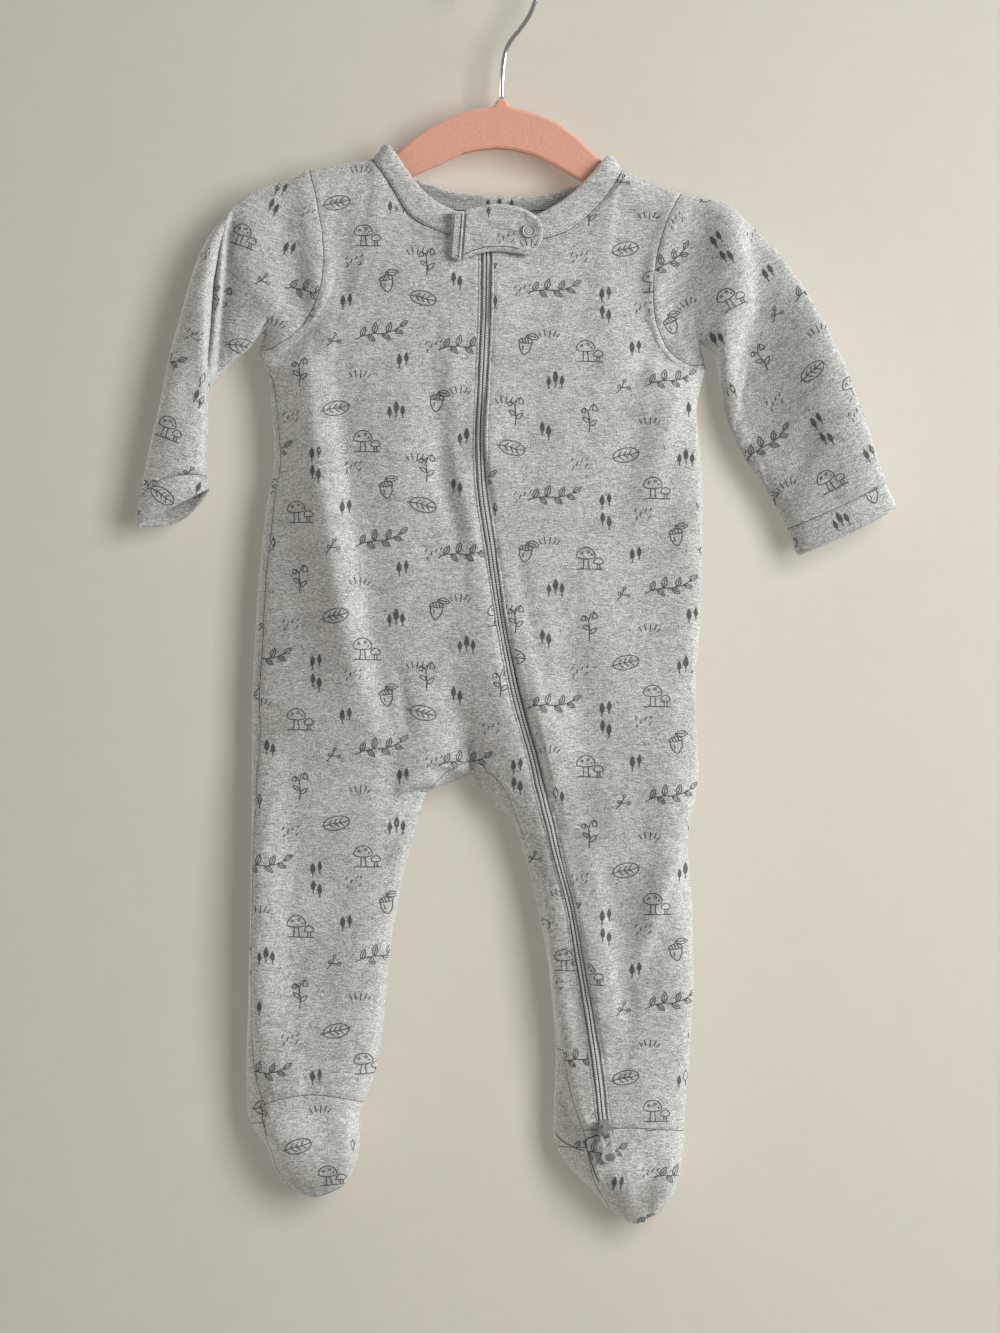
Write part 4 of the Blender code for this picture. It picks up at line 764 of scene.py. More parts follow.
def zip_centre(seams):
    """Middle line of the zip and its two edges, from the neck down."""
    edges = []
    for panel in ("front_right", "front_left"):
        lines = seams[frozenset(("zip", panel))]
        line = sorted((p for part in lines for p in part), key=lambda p: -p.z)
        edges.append(line)
    top = min(edges[0][0].z, edges[1][0].z) - 1
    low = max(edges[0][-1].z, edges[1][-1].z) + .5
    heights = np.arange(top, low, -2.0)
    sides = []
    for line in edges:
        zs = [-p.z for p in line]
        sides.append([Vector((float(np.interp(-z, zs, [p.x for p in line])),
                              float(np.interp(-z, zs, [p.y for p in line])), float(z)))
                      for z in heights])
    middle = [(a + b) / 2 for a, b in zip(*sides)]
    return middle, sides


def zip_cover(z):
    """How far the cloth beside the zip rolls in over its tape at a height."""
    return (-.35 + .60 * math.exp(-((z + 404) / 46) ** 2) + .55 * math.exp(-((z + 568) / 40) ** 2)
            - .30 * math.exp(-((z + 650) / 45) ** 2))


def add_tooth(shape, place, along, across, out):
    """One turn of the coil, a small rounded loaf."""
    half_a, half_l, high = TOOTH[0] / 2, TOOTH[1] / 2, TOOTH[2]
    base = len(shape.points)
    for level, grow in ((-.1, 1.0), (.55, .98), (1.0, .62)):
        for sa, sl in ((-1, -1), (1, -1), (1, 1), (-1, 1)):
            shape.points.append(place + across * (sa * half_a * grow)
                                + along * (sl * half_l * (grow if level < 1 else .5))
                                + out * (level * high))
    for level in (0, 4):
        for n in range(4):
            m = (n + 1) % 4
            shape.faces.append((base + level + n, base + level + m, base + level + 4 + m,
                                base + level + 4 + n))
    shape.faces.append((base + 8, base + 9, base + 10, base + 11))


def add_zip(cloth, seams, marl, nylon, gap_shade):
    """The coil, painted shade as dark tubes in the gaps between its parts, and the rolled edges of
    the cloth.
    """
    middle, sides = zip_centre(seams)
    coil, dark, rolled = Shape(), Shape(), Shape()
    run = resampled(middle, TOOTH_PITCH)
    for n, (place, along) in enumerate(zip(run, tangents(run))):
        spot, normal, _ = cloth.nearest(place)
        normal = Vector((normal.x * .3, normal.y, normal.z * .3)).normalized()
        across = along.cross(normal).normalized()
        for sign in (-1, 1):
            shift = along * (TOOTH_PITCH * .25 * sign)
            add_tooth(coil, spot + across * (sign * COIL_OFFSET) + shift, along, across, normal)
    # Painted shade: a dark tube down the middle gap of the coil.
    places, normals = laid(cloth, resampled(middle, 1.6), .16)
    dark.tube(places, normals, .20, 5)
    for edge, sign in zip(sides, (-1, 1)):
        fine = resampled(edge, 1.6)
        # Painted shade: a dark tube in the gap between the coil and the rolled edge.
        places, normals = laid(cloth, [p - Vector((sign * (.98 + zip_cover(p.z)), 0, 0))
                                       for p in fine], .03)
        dark.tube(places, normals, .20, 5, .8)
        line = [p + Vector((sign * (.08 * math.sin(p.z * .9) + .07 * math.sin(p.z * .37)
                                    - zip_cover(p.z)), 0, 0)) for p in fine]
        places, normals = laid(cloth, line, -.18)
        rolled.tube(places, normals, .88, 8, .85)
    coil.piece("zip_coil", nylon, "zip_tape", smooth=False)
    dark.piece("zip_gap_shade", gap_shade, "zip_tape")
    rolled.piece("zip_rolled_edges", marl, "marl_knit")


# ------------------------------------------------------------------ the print
LINE = .60              # width of a printed line
INK_LIFT = .10
INK_STEP = 1.0


def arc(cx, cz, rx, rz, start, end, steps=10):
    """Part of an ellipse, angles in degrees."""
    return [(cx + rx * math.cos(math.radians(a)), cz + rz * math.sin(math.radians(a)))
            for a in np.linspace(start, end, steps)]


def leaf(x, z, length, width, turn, steps=7):
    """Outline of a leaf that starts at a place and points in a direction."""
    along = (math.cos(math.radians(turn)), math.sin(math.radians(turn)))
    outline = []
    for side, order in ((1, range(steps)), (-1, range(steps - 2, -1, -1))):
        for n in order:
            t = n / (steps - 1)
            out = side * width / 2 * math.sin(math.pi * t ** .85)
            outline.append((x + along[0] * length * t - along[1] * out,
                            z + along[1] * length * t + along[0] * out))
    return outline


def vein(x, z, length, turn, share=.75):
    return [(x, z), (x + length * share * math.cos(math.radians(turn)),
                     z + length * share * math.sin(math.radians(turn)))]


def branch():
    stem = [(-15, -3.2), (-10, -1.6), (-4, -1.0), (2, -1.6), (8, -.6), (12.5, 1.4)]
    lines = [stem]
    for x, z, length, width, turn in ((-11.4, -2.0, 6.6, 3.0, 62), (-7.4, -1.2, 6.0, 2.8, -48),
                                      (-3.6, -1.0, 7.0, 3.2, 74), (1.2, -1.5, 6.2, 2.8, -40),
                                      (4.4, -1.4, 6.8, 3.0, 66), (8.8, -.4, 5.4, 2.6, -24),
                                      (12.5, 1.4, 6.0, 2.8, 34)):
        lines += [leaf(x, z, length, width, turn), vein(x, z, length, turn)]
    return lines, []


def toadstools():
    lines = [arc(-2, 1.2, 5.6, 5.4, 4, 176, 14), arc(-2, 1.3, 5.6, 1.5, 180, 360, 9),
             [(-3.2, .1), (-3.4, -4.2), (-3.8, -6.2)], [(-.7, .1), (-.5, -4.2), (0, -6.2)],
             arc(5.6, -2.4, 2.9, 3.0, 6, 174, 9), arc(5.6, -2.4, 2.9, .8, 180, 360, 6),
             [(4.9, -3.1), (4.8, -6.2)], [(6.3, -3.1), (6.5, -6.2)],
             arc(-4.4, 3.4, .8, .7, 0, 360, 7), arc(-.6, 4.2, 1.0, .8, 0, 360, 7),
             arc(1.4, 2.2, .6, .5, 0, 360, 6), [(-7.4, -6.3), (-5.2, -6.0), (8.6, -6.4)]]
    return lines, []


def acorn():
    lines = [arc(0, 1.4, 4.2, 2.6, 0, 180, 9), [(-4.2, 1.4), (0, .7), (4.2, 1.4)],
             [(-3.6, 1.0), (-3.4, -2.2), (-1.6, -5.2), (0, -6.4), (1.6, -5.2), (3.4, -2.2),
              (3.6, 1.0)],
             [(0, 4.0), (.5, 6.2)], [(-2.6, 3.2), (-1.4, 1.4)], [(-.8, 3.8), (.2, 1.2)],
             [(1.0, 3.8), (1.9, 1.3)], [(-1.4, -.8), (-1.1, -3.4)],
             leaf(.6, 5.6, 7.4, 3.6, -8), vein(.6, 5.6, 7.4, -8)]
    return lines, []


def oval_leaf():
    lines = [arc(0, 0, 8.0, 4.2, 0, 360, 18), [(-9.6, -.4), (-3, .3), (3, -.2), (7.4, .2)]]
    for x in (-4.6, -1.4, 1.8):
        lines += [[(x, .1), (x + 2.2, 2.6)], [(x + .4, 0), (x + 2.6, -2.5)]]
    return lines, []


def bellflower():
    lines = [[(0, -8.5), (.4, -3), (-.4, 3), (1.4, 7.4), (3.2, 8.2)],
             [(3.2, 8.2), (2.0, 5.8), (2.2, 4.0), (3.6, 4.6), (4.8, 3.9), (4.9, 5.9), (3.2, 8.2)],
             leaf(.3, -4.6, 5.6, 2.4, 38), leaf(.2, -2.4, 5.2, 2.2, 146),
             [(-.3, 3.2), (-1.8, 5.6), (-3.4, 6.0)],
             [(-3.4, 6.0), (-4.6, 4.2), (-4.2, 2.8), (-3.2, 3.5), (-2.2, 2.8), (-2.0, 4.6),
              (-3.4, 6.0)]]
    return lines, []


def buds(places):
    """Small filled leaves, each on a short stalk."""
    lines, fills = [], []
    for x, z, size in places:
        size *= 1.15
        fills.append(leaf(x, z - size * .28, size, size * .42, 90, 6))
        lines.append([(x, z - size * .56), (x, z - size * .2)])
    return lines, fills


def tuft(spread):
    lines = []
    for x, z, length, turn in spread:
        lines.append([(x, z), (x + length * math.cos(math.radians(turn)),
                               z + length * math.sin(math.radians(turn)))])
    return lines, []


def berries():
    lines = [[(-3.6, -3), (-.4, .4), (.6, 3.4)], [(-.4, .4), (2.6, .2)],
             arc(1.0, 4.4, 1.0, 1.0, 0, 360, 8), arc(3.7, .1, 1.0, 1.0, 0, 360, 8),
             arc(-1.9, 1.0, 1.0, 1.0, 0, 360, 8)]
    return lines, []


MOTIFS = {
    "branch": branch(), "toadstools": toadstools(), "acorn": acorn(), "oval": oval_leaf(),
    "flower": bellflower(), "berries": berries(),
    "two": buds([(-2.2, -.6, 6.2), (2.0, .9, 5.4)]),
    "three": buds([(-4.0, -1.2, 5.2), (0, .9, 6.6), (3.8, -.9, 5.6)]),
    "pair": buds([(-1.9, 1.2, 5.8), (1.9, -1.2, 6.0)]),
    "grass": tuft([(-4.4, -1.6, 3.4, 118), (-2.0, -1.2, 4.2, 102), (.4, -1.8, 4.6, 84),
                   (2.8, -1.0, 3.8, 66), (4.6, -1.8, 3.0, 48)]),
    "dashes": tuft([(-4.6, 1.8, 2.4, 60), (-1.6, -.4, 2.8, 72), (1.2, 1.6, 2.4, 64),
                    (3.6, -1.8, 2.6, 56), (-3.8, -2.8, 2.2, 70), (4.4, 2.8, 2.0, 60)]),
}
# One repeat of the print: the motif, its place in the repeat and its turn.
REPEAT = (120.0, 124.0)
DRAWING = (
    ("branch", 8, 6, 0), ("two", 40, 2, 0), ("toadstools", 70, 10, 0), ("grass", 100, 0, 0),
    ("dashes", 24, 24, 0), ("oval", 52, 30, 12), ("three", 88, 28, 0), ("acorn", 112, 34, -6),
    ("pair", 4, 44, 0), ("flower", 30, 52, 0), ("grass", 66, 50, 0), ("two", 92, 58, 0),
    ("berries", 50, 70, 0), ("branch", 78, 76, 6), ("dashes", 110, 66, 0), ("three", 10, 74, 0),
    ("toadstools", 30, 92, 0), ("two", 58, 94, 0), ("oval", 104, 96, -14), ("grass", 6, 102, 0),
    ("acorn", 82, 106, 8), ("pair", 40, 114, 0), ("dashes", 62, 118, 0), ("flower", 106, 118, 0),
)
# Pieces printed from one side of a panel: panels, side, turn of the grain, start of the repeat.
PRINTED = (
    (("front_right",), "f", 0, (-31, 5)), (("front_left",), "f", 0, (22, 39)),
    (("back",), "b", 0, (11, -17)), (("back",), "f", 0, (47, 21)),
    (("sleeve_right",), "f", -21, (7, 3)), (("sleeve_right",), "b", -21, (43, 61)),
    (("sleeve_left",), "f", 29, (-12, 31)), (("sleeve_left",), "b", 29, (71, -22)),
    (("foot_top_right",), "f", 4, (17, 9)), (("foot_top_left",), "f", -8, (-41, 27)),
    (("sole_right",), "b", 2, (33, 71)), (("sole_left",), "b", -6, (5, 47)),
    (("cuff_right",), "f", -21, (63, 22)), (("cuff_right",), "b", -21, (19, 80)),
    (("cuff_left",), "f", 29, (44, 8)), (("cuff_left",), "b", 29, (9, 55)),
)


def cast(cloth, x, z, side):
    """Where a printed point comes down on the cloth, from the front or the back."""
    start = -90 if side == "f" else 90
    hit = cloth.ray((x, start, z), (0, -math.copysign(1, start), 0), 160)
    if hit is None or abs(hit[1].y) < .30:
        return None
    return hit


def print_line(shape, cloth, line, side, panels):
    """A ribbon of ink along a line, left out where it runs off its panel."""
    places = [Vector((x, 0, z)) for x, z in line]
    if (places[0] - places[-1]).length > INK_STEP or len(places) > 3:
        places = resampled(places, INK_STEP)
    last = None
    for place, along in zip(places, tangents(places)):
        across = Vector((along.z, 0, -along.x)) * (LINE / 2)
        pair = []
        for edge in (place - across, place + across):
            hit = cast(cloth, edge.x, edge.z, side)
            if hit is None or hit[2] not in panels:
                break
            pair.append(hit[0] + hit[1] * INK_LIFT * (1 if hit[1].y * (-1 if side == "f" else 1) > 0
                                                      else -1))
        if len(pair) < 2:
            last = None
            continue
        base = len(shape.points)
        shape.points += pair
        if last is not None and (shape.points[last] - pair[0]).length < 3 * INK_STEP:
            shape.faces.append((last, last + 1, base + 1, base) if side == "f"
                               else (last, base, base + 1, last + 1))
        last = base


def print_fill(shape, cloth, outline, side, panels):
    """A filled spot of ink."""
    spots = []
    for x, z in outline:
        hit = cast(cloth, x, z, side)
        if hit is None or hit[2] not in panels:
            return
        out = 1 if hit[1].y * (-1 if side == "f" else 1) > 0 else -1
        spots.append(hit[0] + hit[1] * INK_LIFT * out * 1.3)
    base = len(shape.points)
    shape.points += spots
    count = len(spots)
    for n in range((count - 1) // 2):
        a, b = n, n + 1
        c, d = (count - n - 1) % count, (count - n) % count
        face = tuple(base + i for i in dict.fromkeys((a, b, c, d)))
        if len(face) > 2:
            shape.faces.append(face if side == "b" else face[::-1])


def set_down(line, at, turn, grain):
    """A motif's line at its place in the repeat, turned with the grain of the panel."""
    moved = []
    for x, z in line:
        u = at[0] + x * math.cos(turn) - z * math.sin(turn)
        v = at[1] + x * math.sin(turn) + z * math.cos(turn)
        moved.append((u * math.cos(grain) - v * math.sin(grain),
                      u * math.sin(grain) + v * math.cos(grain)))
    return moved


def repeats(values, start, size):
    """Numbers of the repeats that reach over a range of values."""
    return range(int((values.min() - start) // size), int((values.max() - start) // size) + 1)


def add_print(cloth, ink):
    """The printed drawing, with every other column of repeats half a repeat lower."""
    for panels, side, grain, (start_x, start_z) in PRINTED:
        number = [n for n, name in enumerate(CLOTH) if name in panels]
        own = cloth.points[np.unique(cloth.quads[np.isin(cloth.who, number)])]
        turn = math.radians(grain)
        cos, sin = math.cos(turn), math.sin(turn)
        u = own[:, 0] * cos + own[:, 2] * sin
        v = -own[:, 0] * sin + own[:, 2] * cos
        shape = Shape()
        for i in repeats(u, start_x, REPEAT[0]):
            for j in repeats(v, start_z, REPEAT[1]):
                for kind, mx, mz, own_turn in DRAWING:
                    cu = start_x + i * REPEAT[0] + mx
                    cv = start_z + j * REPEAT[1] + mz + (REPEAT[1] / 2 if i % 2 else 0)
                    if not (u.min() - 16 < cu < u.max() + 16 and v.min() - 12 < cv < v.max() + 12):
                        continue
                    lines, fills = MOTIFS[kind]
                    where = (cu, cv), math.radians(own_turn), turn
                    for line in lines:
                        print_line(shape, cloth, set_down(line, *where), side, panels)
                    for outline in fills:
                        print_fill(shape, cloth, set_down(outline, *where), side, panels)
        if shape.faces:
            shape.piece("print_" + "_".join(panels) + "_" + side, ink, "marl_knit")


def print_motif(shape, cloth, motif, at, panel):
    """A motif printed straight on the front of one panel."""
    lines, fills = motif
    for line in lines:
        print_line(shape, cloth, [(x + at[0], z + at[1]) for x, z in line], "f", (panel,))
    for outline in fills:
        print_fill(shape, cloth, [(x + at[0], z + at[1]) for x, z in outline], "f", (panel,))


# ------------------------------------------------------------------ chin tab, stud, pull and hook
TAB_FOLDS = (
    ("f", .55, 2.2, 2.0, (-20, -182.2), (-10, -178.6), (0, -178.2), (10, -179.6), (19, -179.4)),
    ("f", -.45, 1.2, 1.4, (-21, -180.2), (-10, -176.4), (0, -176.0), (9, -177.2)),
    ("f", .55, 3.4, 2.6, (-17, -160), (-6, -163), (4, -164.5), (9, -164)),
    ("f", -.40, 2.8, 3.2, (-19, -167), (-8, -169.6), (4, -171)),
    ("f", .45, 3.0, 2.4, (12, -158), (19, -161.5), (21.5, -167), (20, -174)),
)
TAB_EDGE = ((-22.4, -183.0), (-17.6, -180.9), (-10, -178.5), (-3, -178.1), (4, -178.5),
            (10.4, -179.7), (15.6, -180.2), (19.2, -178.0), (21.8, -173.2), (22.5, -167.6),
            (20.9, -164.0), (17.6, -160.8), (13.2, -158.4), (7.4, -156.5), (.8, -155.4),
            (-6.8, -155.4), (-14.6, -157.5), (-20.6, -158.9))
STUD = (16.2, -168.9)   # middle of the stud's cap (x, z)
STRIP_LINE = ((-23.0, -158.5), (-23.4, -164), (-24.0, -172), (-24.6, -180), (-25.1, -185.0))


def soft_plate(name, folds, seed, crease=0.0):
    """A small flat cloth piece with round edges and a little relief on its face."""
    shell = joined_quads(name)
    shell.verts.index_update()
    points = np.array([tuple(v.co) for v in shell.verts])
    faces = [[v.index for v in face.verts] for face in shell.faces]
    shell.free()
    owners = [0] * len(faces)
    cage = points if crease else fitted_cage(points, faces, owners)
    dense, quads, who = subdivided(cage, faces, owners, LEVELS, crease)
    normals = vertex_normals(dense, quads)
    lift = fold_relief(dense[:, 0], dense[:, 2], "f", folds)
    lift += undulation(dense[:, 0], dense[:, 2], seed, .12, 5, 16)
    from_stud = np.hypot(dense[:, 0] - STUD[0], dense[:, 2] - STUD[1])
    lift *= np.clip(-normals[:, 1] * 1.8 - .5, 0, 1) * np.clip((from_stud - 3.6) / 2, 0, 1)
    dense += normals * lift[:, None]
    piece = add_piece("knit_" + name, dense, quads.tolist(), MARL)
    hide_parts(name)
    PANEL_PIECES[name] = piece
    return Cloth(dense, quads, who, (name,))


def on_face(cloth, places):
    """Points (x, z) brought down on the front of a cloth piece."""
    hits = [cloth.front(x, z) for x, z in places]
    return [hit[0] for hit in hits if hit is not None]


def ring_line(radius, steps=28):
    return [(STUD[0] + radius * math.cos(2 * math.pi * n / steps),
             STUD[1] + radius * math.sin(2 * math.pi * n / steps)) for n in range(steps + 1)]


def add_tab(ink, thread, shadow):
    """The chin tab and its strip, with their stitches, edges and print; the dark lines along the
    tab's lower edge and the strip's edges are partly seam lines and partly painted shade.
    """
    tab = soft_plate("chin_tab", TAB_FOLDS, 11)
    strip = soft_plate("chin_tab_strip", (), 12, .8)
    stitches, dark = Shape(), Shape()
    add_stitches(stitches, tab, on_face(tab, TAB_EDGE), 1.4, .8, .17, .05)
    # Partly seam line, partly painted shade: a dark tube along the tab's lower edge.
    seam = resampled(on_face(tab, TAB_EDGE[:6]), 1.2)
    dark.tube(*laid(tab, seam, .06), .26, 5)
    # Painted shade, partly seam lines: dark tubes along the strip's edges.
    for under, shift, radius in ((strip, -5.4, .26), (strip, -.9, .26), (tab, 1.5, .24)):
        spots = on_face(under, [(x + shift, z) for x, z in STRIP_LINE])
        if len(spots) > 2:
            dark.tube(*laid(under, resampled(spots, 1.2), .06), radius, 5)
    stitches.piece("tab_stitches", thread, "marl_knit")
    dark.piece("tab_seam_and_shade", shadow, "marl_knit")
    prints = Shape()
    for motif, at in ((MOTIFS["dashes"], (2, -174)), (buds([(-8, -157.6, 4.4)]), (0, 0)),
                      (MOTIFS["grass"], (17, -176.6))):
        print_motif(prints, tab, motif, at, "chin_tab")
    prints.piece("print_chin_tab", ink, "marl_knit")


def add_rings(shadow):
    """The three pressed rings of the stud's cap, drawn as thin dark lines of painted shade."""
    tree = node_tree("stud_cap")
    rings = Shape()
    for radius, thick in ((4.1, .22), (2.5, .18), (1.2, .12)):
        line = []
        for x, z in ring_line(radius):
            spot = tree.ray_cast(Vector((x, -40, z)), Vector((0, 1, 0)))[0]
            line.append(spot if spot is not None else Vector((x, -14.1, z)))
        rings.tube(line, [Vector((0, -1, 0))] * len(line), thick, 5)
    rings.piece("stud_ring_shade", shadow, "stud")


def add_neck_inside(cloth, thread, shadow, ink):
    """Stitches and seam along the inside of the neckband at the back; the seam is a dark tube of
    painted shade.
    """
    rows, dark, prints = Shape(), Shape(), Shape()
    for drop, shape in ((0, rows), (1.3, rows), (3.0, dark)):
        line = [(x, -148.2 - drop - 3.2 * (1 - ((x + 1) / 44) ** 2)) for x in range(-44, 44)]
        spots = [p for p in on_face(cloth, line) if p.y > 0]
        if len(spots) < 4:
            continue
        if shape is rows:
            add_stitches(rows, cloth, spots, 1.1, .9, .20, .06)
        else:
            # Painted shade: a dark tube along the seam below the inside band.
            dark.tube(*laid(cloth, resampled(spots, 1.5), .05), .32, 5)
    rows.piece("neck_inside_stitches", thread, "marl_knit")
    if dark.faces:
        dark.piece("neck_inside_seam_shade", shadow, "marl_knit")
    for bud in ((-8.4, -150.6, 4.6), (-1.4, -149.6, 5.0), (6.0, -150.4, 4.6)):
        print_motif(prints, cloth, buds([bud]), (0, 0), "neckband")
    if prints.faces:
        prints.piece("print_neck_inside", ink, "marl_knit")


def add_pull_inset(look):
    """The darker oval at the foot of the pull tab."""
    tree = node_tree("zip_pull")
    centre = Vector((64.4, 0, -(1153.4 + 49) * .6))
    inset = Shape()
    rings = []
    for share in (0.0, .8, 1.0):
        ring = []
        for n in range(24 if share else 1):
            angle = 2 * math.pi * n / 24
            x = centre.x + 3.1 * share * math.cos(angle)
            z = centre.z + 2.5 * share * math.sin(angle)
            spot = tree.ray_cast(Vector((x, -40, z)), Vector((0, 1, 0)))[0]
            if spot is None:
                return
            ring.append(len(inset.points))
            inset.points.append(spot + Vector((0, -.12 if share < 1 else .02, 0)))
        rings.append(ring)
    for n in range(24):
        m = (n + 1) % 24
        inset.faces.append((rings[0][0], rings[1][n], rings[1][m]))
        inset.faces.append((rings[1][n], rings[2][n], rings[2][m], rings[1][m]))
    inset.piece("pull_inset", look, "pull", body="pull_tab")


# Painted shade in the creases of the feet: radius of each dark line, then its points in frame
# pixels.
CREASE_SHADE = (
    (.45, (556, 1136), (566, 1144), (576, 1148), (584, 1149)),
    (.55, (584, 1141), (588, 1150), (592, 1163), (598, 1178)),
    (.50, (583, 1141), (588, 1136), (596, 1133), (602, 1134)),
    (.45, (262, 1108), (264, 1122), (268, 1134)),
    (.28, (300, 1198), (322, 1196), (345, 1184), (352, 1176)),
)


def add_crease_shade(cloth, shadow):
    """Painted shade: dark tubes in the creases at the seams of the feet."""
    dark = Shape()
    for radius, *pixels in CREASE_SHADE:
        spots = on_face(cloth, [((px - 502) * .6, -(py + 49) * .6) for px, py in pixels])
        if len(spots) > 1:
            places, normals = laid(cloth, resampled(spots, 1.2), -radius * .35)
            dark.tube(places, normals, radius, 6)
    dark.piece("foot_crease_shade", shadow, "marl_knit")


def add_hook(chrome):
    """The bent wire of the hanger, round and smooth."""
    stem = [(-.3, -87), (0, -74), (.9, -64), (2.2, -57.4), (5.4, -51.6), (10, -46.3),
            (14.4, -40.6), (17.8, -34.6)]
    stem += [(.2 + 21.6 * math.cos(math.radians(a)), -20 + 21.6 * math.sin(math.radians(a)))
             for a in np.linspace(-25, 196, 41)]
    line = resampled([Vector((x, 0, z)) for x, z in stem], 1.5)
    for _ in range(6):
        inner = [(a + b * 2 + c) / 4 for a, b, c in zip(line, line[1:], line[2:])]
        line = [line[0]] + inner + [line[-1]]
    hook = Shape()
    hook.tube(line, [Vector((0, -1, 0))] * len(line), 1.6, 20)
    piece = hook.piece("hook", chrome, "hook_wire")
    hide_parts("hanger_hook")


# ------------------------------------------------------------------ the suit, put together
MARL = marl_material("marl_knit")
SLEEVE_MARL = {"sleeve_right": marl_material("marl_sleeve_right", -21),
               "cuff_right": marl_material("marl_cuff_right", -21),
               "sleeve_left": marl_material("marl_sleeve_left", 29),
               "cuff_left": marl_material("marl_cuff_left", 29)}
TAPE = plain_material("zip_tape", (.24, .237, .232), .85, bump=(1800, .0002, .25))
SHADOW = plain_material("seam_shadow", (.075, .075, .072), .95, bump=(900, .0002, .3))
THREAD = plain_material("sewing_thread", (.19, .195, .185), .8, bump=(2600, .0001, .25))
NYLON = plain_material("zip_coil", (.86, .85, .84), .45, bump=(3000, .00005, .12))
# Painted shade for the gaps of the zip.
ZIP_GAP_SHADE = plain_material("zip_gap_shade", (.05, .048, .047), .9, bump=(900, .0001, .2))

CLOTH_SURFACE = Cloth(*suit_surface())
PANEL_PIECES = split_panels(CLOTH_SURFACE.points, CLOTH_SURFACE.quads, CLOTH_SURFACE.who,
                            lambda name: TAPE if name == "zip" else SLEEVE_MARL.get(name, MARL))
SEAMS = sew(CLOTH_SURFACE, SHADOW, THREAD)
add_zip(CLOTH_SURFACE, SEAMS, MARL, NYLON, ZIP_GAP_SHADE)
INK = plain_material("print_ink", (.086, .087, .083), .95, bump=(1300, .0002, .65))
add_print(CLOTH_SURFACE, INK)
add_tab(INK, THREAD, SHADOW)
add_rings(SHADOW)
add_neck_inside(CLOTH_SURFACE, THREAD, SHADOW, INK)
add_crease_shade(CLOTH_SURFACE, SHADOW)

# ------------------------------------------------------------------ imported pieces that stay
flock = plain_material("hanger_flock", (.675, .338, .245), .95, bump=(1400, .0004, .10), sheen=.3)
wire = plain_material("hook_wire", (.78, .78, .79), .12, metallic=1.0)
enamel = plain_material("pull_enamel", (.46, .46, .47), .36, metallic=.25)
slider_look = plain_material("slider_enamel", (.30, .30, .305), .40, metallic=.25)
for name, look in (("hanger_body", flock), ("zip_slider", slider_look), ("zip_pull", enamel),
                   ("stud_cap", plain_material("stud", (.50, .50, .48), .5))):
    NODES[name].data.materials.clear()
    NODES[name].data.materials.append(look)
add_pull_inset(plain_material("pull_inset", (.17, .17, .17), .45))
add_hook(wire)

# ------------------------------------------------------------------ camera, wall, floor and light
PIXEL = .0006           # metres to a pixel of the 1000 x 1333 frame, at the garment
CAMERA_DISTANCE = 1.7


def from_pixel(px, py, y=0.0):
    return Vector(((px - 502) * PIXEL, y, -(py + 49) * PIXEL))


def add_camera():
    lens = bpy.data.cameras.new("camera")
    lens.sensor_width = 36
    lens.lens = 36 * CAMERA_DISTANCE / (1333 * PIXEL)
    made = bpy.data.objects.new("camera", lens)
    bpy.context.scene.collection.objects.link(made)
    made.location = from_pixel(500, 666.5, -CAMERA_DISTANCE - .008)
    made.rotation_euler = (math.radians(90), 0, 0)
    bpy.context.scene.camera = made


def wall_paint():
    """Pale wall paint; the wall is clear from behind, so that the back can be looked at."""
    made = plain_material("wall_paint", (.66, .635, .565), .9, bump=(60, .0002, .008))
    nodes, links = made.node_tree.nodes, made.node_tree.links
    side = nodes.new("ShaderNodeNewGeometry")
    clear = nodes.new("ShaderNodeBsdfTransparent")
    either = nodes.new("ShaderNodeMixShader")
    links.new(side.outputs["Backfacing"], either.inputs["Fac"])
    links.new(nodes["Principled BSDF"].outputs["BSDF"], either.inputs[1])
    links.new(clear.outputs["BSDF"], either.inputs[2])
    links.new(either.outputs["Shader"], nodes["Material Output"].inputs["Surface"])
    return made


def add_sheet(name, corners, look):
    mesh = bpy.data.meshes.new(name)
    mesh.from_pydata(corners, [], [(0, 1, 2, 3)])
    mesh.materials.append(look)
    made = bpy.data.objects.new(name, mesh)
    bpy.context.scene.collection.objects.link(made)
    return made


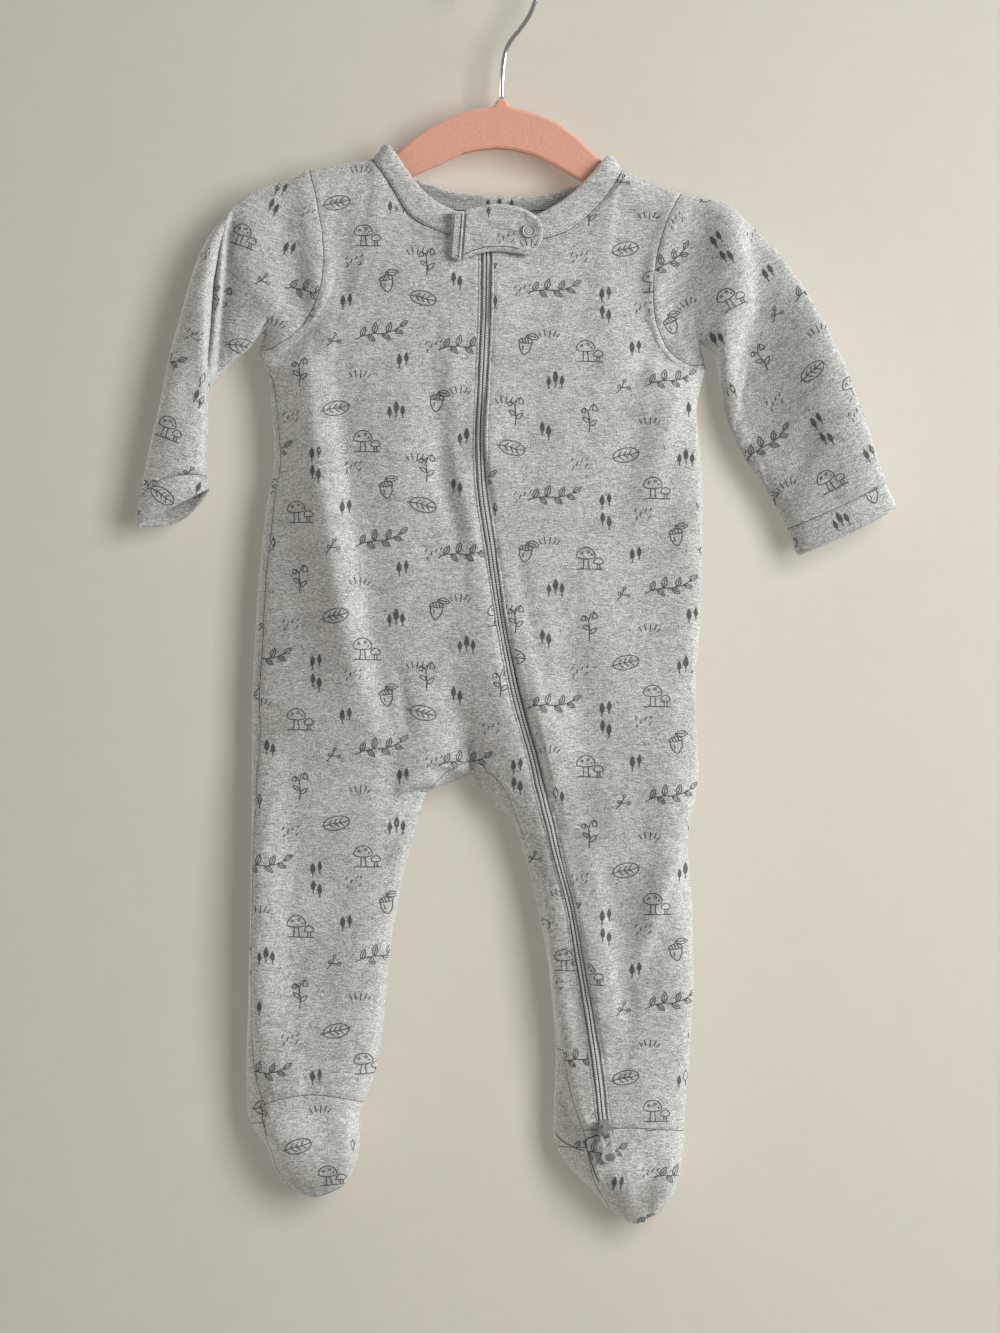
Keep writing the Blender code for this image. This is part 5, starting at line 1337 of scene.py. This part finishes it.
def add_stage():
    behind, low = .0278, -1.35
    wall = add_sheet("wall", [(-.9, behind, low), (.9, behind, low), (.9, behind, .55),
                              (-.9, behind, .55)], wall_paint())
    wall.visible_shadow = False
    floor = add_sheet("floor", [(-3, -3, low), (3, -3, low), (3, 3, low), (-3, 3, low)],
                      plain_material("floor", (.70, .69, .66), .8, bump=(40, .0003, .01)))
    return wall, floor


def add_light(name, place, target, size, power, colour=(1, 1, 1)):
    lamp = bpy.data.lights.new(name, "AREA")
    lamp.shape = "RECTANGLE"
    lamp.size, lamp.size_y = size
    lamp.energy = power
    lamp.color = colour
    made = bpy.data.objects.new(name, lamp)
    bpy.context.scene.collection.objects.link(made)
    made.location = place
    made.rotation_euler = (Vector(target) - Vector(place)).to_track_quat("-Z", "Y").to_euler()
    return made


def light_only(lamp, lit, unlit=()):
    """Let a lamp light only the lit pieces, or everything but the unlit ones."""
    group = bpy.data.collections.new(lamp.name + "_lights")
    for piece in (*lit, *unlit):
        group.objects.link(piece)
    lamp.light_linking.receiver_collection = group
    for entry, piece in zip(group.collection_objects, (*lit, *unlit)):
        entry.light_linking.link_state = "INCLUDE" if piece in lit else "EXCLUDE"


add_camera()
STAGE = add_stage()
light_only(add_light("window", (3.1, -1.5, .75), (0, 0, -.42), (1.7, 1.7), 198, (.985, .995, 1)),
           (), STAGE)
light_only(add_light("window_on_wall", (.64, -1.20, -.20), (0, 0, -.42), (.6, 1.0), 14,
                     (1, .985, .96)), STAGE)
wall_glow = add_light("glow_on_wall", (1.25, -.95, -.20), (0, 0, -.42), (.6, 1.0), 3,
                      (.90, .965, 1))
light_only(wall_glow, STAGE)
no_shade = bpy.data.collections.new("glow_blockers")
no_shade.objects.link(STAGE[1])
wall_glow.light_linking.blocker_collection = no_shade
light_only(add_light("fill", (-2.6, -.9, -.2), (0, 0, -.42), (1.6, 1.6), 26, (1, .985, .94)),
           (), STAGE)
add_light("behind", (-1.0, 2.6, .55), (0, 0, -.42), (1.4, 1.4), 55, (.98, .99, 1))
world = bpy.data.worlds.new("room")
world.use_nodes = True
world.node_tree.nodes["Background"].inputs["Color"].default_value = (.84, .81, .76, 1)
world.node_tree.nodes["Background"].inputs["Strength"].default_value = .27
bpy.context.scene.world = world
bpy.context.scene.view_settings.view_transform = "Standard"
